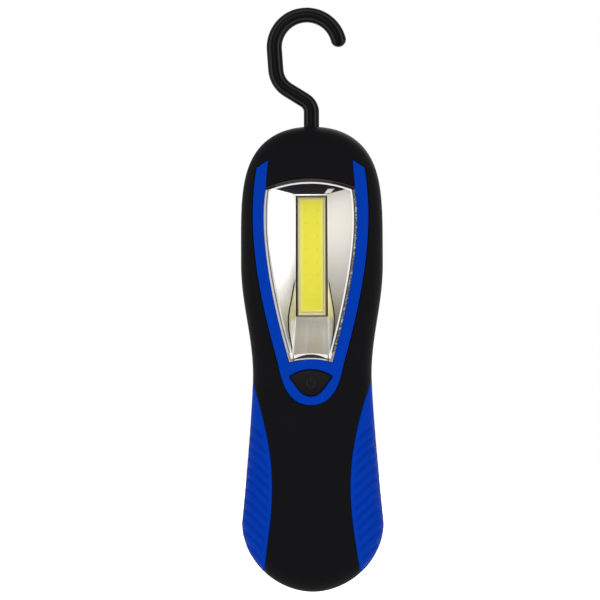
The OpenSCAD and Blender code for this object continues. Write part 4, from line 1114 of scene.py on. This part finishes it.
# The heat sink is dark metal, partly as black anodising and partly as painted shade, so that the gap round
# the strip shows dark.
FINISHES = {"led_board": board_cream, "heat_sink": dark_metal, "switch_plunger": switch_grey,
            "switch_body": switch_grey, "driver_board": board_green, "driver_parts": component_dark,
            "inner_screws": screw_steel, "battery_tray": tray_black, "contact_plates": contact_metal,
            "contact_springs": contact_metal, "battery_left": cell_wrap, "battery_middle": cell_wrap,
            "battery_right": cell_wrap, "magnet": magnet_steel, "magnet_cup": screw_steel,
            "casing_screws": casing_screw, "wire_red": wire_red, "wire_black": wire_black}
for name, finish in FINISHES.items():
    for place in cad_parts[name].material_slots:
        place.material = finish


# ---------- Stage ----------

def floor_finish():
    """Pale matt floor, brighter to the camera, in reflections and far out, to meet the white behind."""
    f = Finish("floor_pale", Base_Color=(0.9, 0.9, 0.9), Roughness=0.9, Specular_IOR_Level=0.1,
               Emission_Strength=0.4)
    x, y, _ = f.axes()
    far = (x * x + y * y).ramp(5e5, 4e6)
    glow = f.blend(far, (1.0, 1.0, 1.0), (2.5, 2.5, 2.5))
    f.feed(Emission_Color=f.blend((f.ray("Camera") + f.ray("Glossy")).clamp(), (0.0, 0.0, 0.0), glow))
    return f.material


# Metres from here on.
FLOOR_Z = -0.5
floor_mesh = bpy.data.meshes.new("floor")
corners = [(x, y, FLOOR_Z) for x, y in ((-15, -15), (15, -15), (15, 15), (-15, 15))]
floor_mesh.from_pydata(corners, [], [(0, 1, 2, 3)])
floor_mesh.materials.append(floor_finish())
floor = bpy.data.objects.new("floor", floor_mesh)
bpy.context.scene.collection.objects.link(floor)

world = bpy.data.worlds.new("studio")
bpy.context.scene.world = world
world.use_nodes = True
sky = Nodes(world.node_tree)
ground = next(n for n in sky.tree.nodes if n.type == "BACKGROUND")
ground.inputs["Color"].default_value = (1, 1, 1, 1)
seen = (sky.ray("Camera") + sky.ray("Glossy") + sky.ray("Transmission")).clamp()
sky.tree.links.new((seen * 0.45 + 0.55).socket, ground.inputs["Strength"])


def soft_light(name, place, size, power, colour=(1, 1, 1)):
    """An oblong soft light at a place, turned to the object."""
    lamp = bpy.data.lights.new(name, "AREA")
    lamp.shape = "RECTANGLE"
    lamp.energy, lamp.color = power, colour
    lamp.size, lamp.size_y = size
    thing = bpy.data.objects.new(name, lamp)
    thing.location = place
    thing.rotation_euler = (-Vector(place)).to_track_quat("-Z", "Y").to_euler()
    thing.visible_camera = False
    bpy.context.scene.collection.objects.link(thing)


soft_light("right", (1.4, -0.65, 0.25), (0.25, 1.3), 5)
soft_light("left", (-1.4, -0.8, 0.2), (0.25, 1.3), 3.5, (1, 0.98, 0.94))
soft_light("front", (-0.3, -2.0, 0.7), (1.2, 1.2), 15.7)
soft_light("back", (0.3, 1.6, 0.9), (1.2, 1.2), 20)

camera = bpy.data.objects.new("camera", bpy.data.cameras.new("camera"))
bpy.context.scene.collection.objects.link(camera)
bpy.context.scene.camera = camera
camera.data.lens, camera.data.sensor_width = 400, 36
aim = Vector((-0.0052, -0.015, -0.0245))
turn = math.radians(2.5)
distance = 2.867
camera.location = aim + Vector((math.sin(turn), -math.cos(turn), 0)) * distance
tilt = Quaternion((0, 0, 1), math.radians(-0.2))
camera.rotation_euler = ((aim - camera.location).to_track_quat("-Z", "Y") @ tilt).to_euler()
camera.data.clip_end = 50

bpy.context.scene.view_settings.view_transform = "Standard"
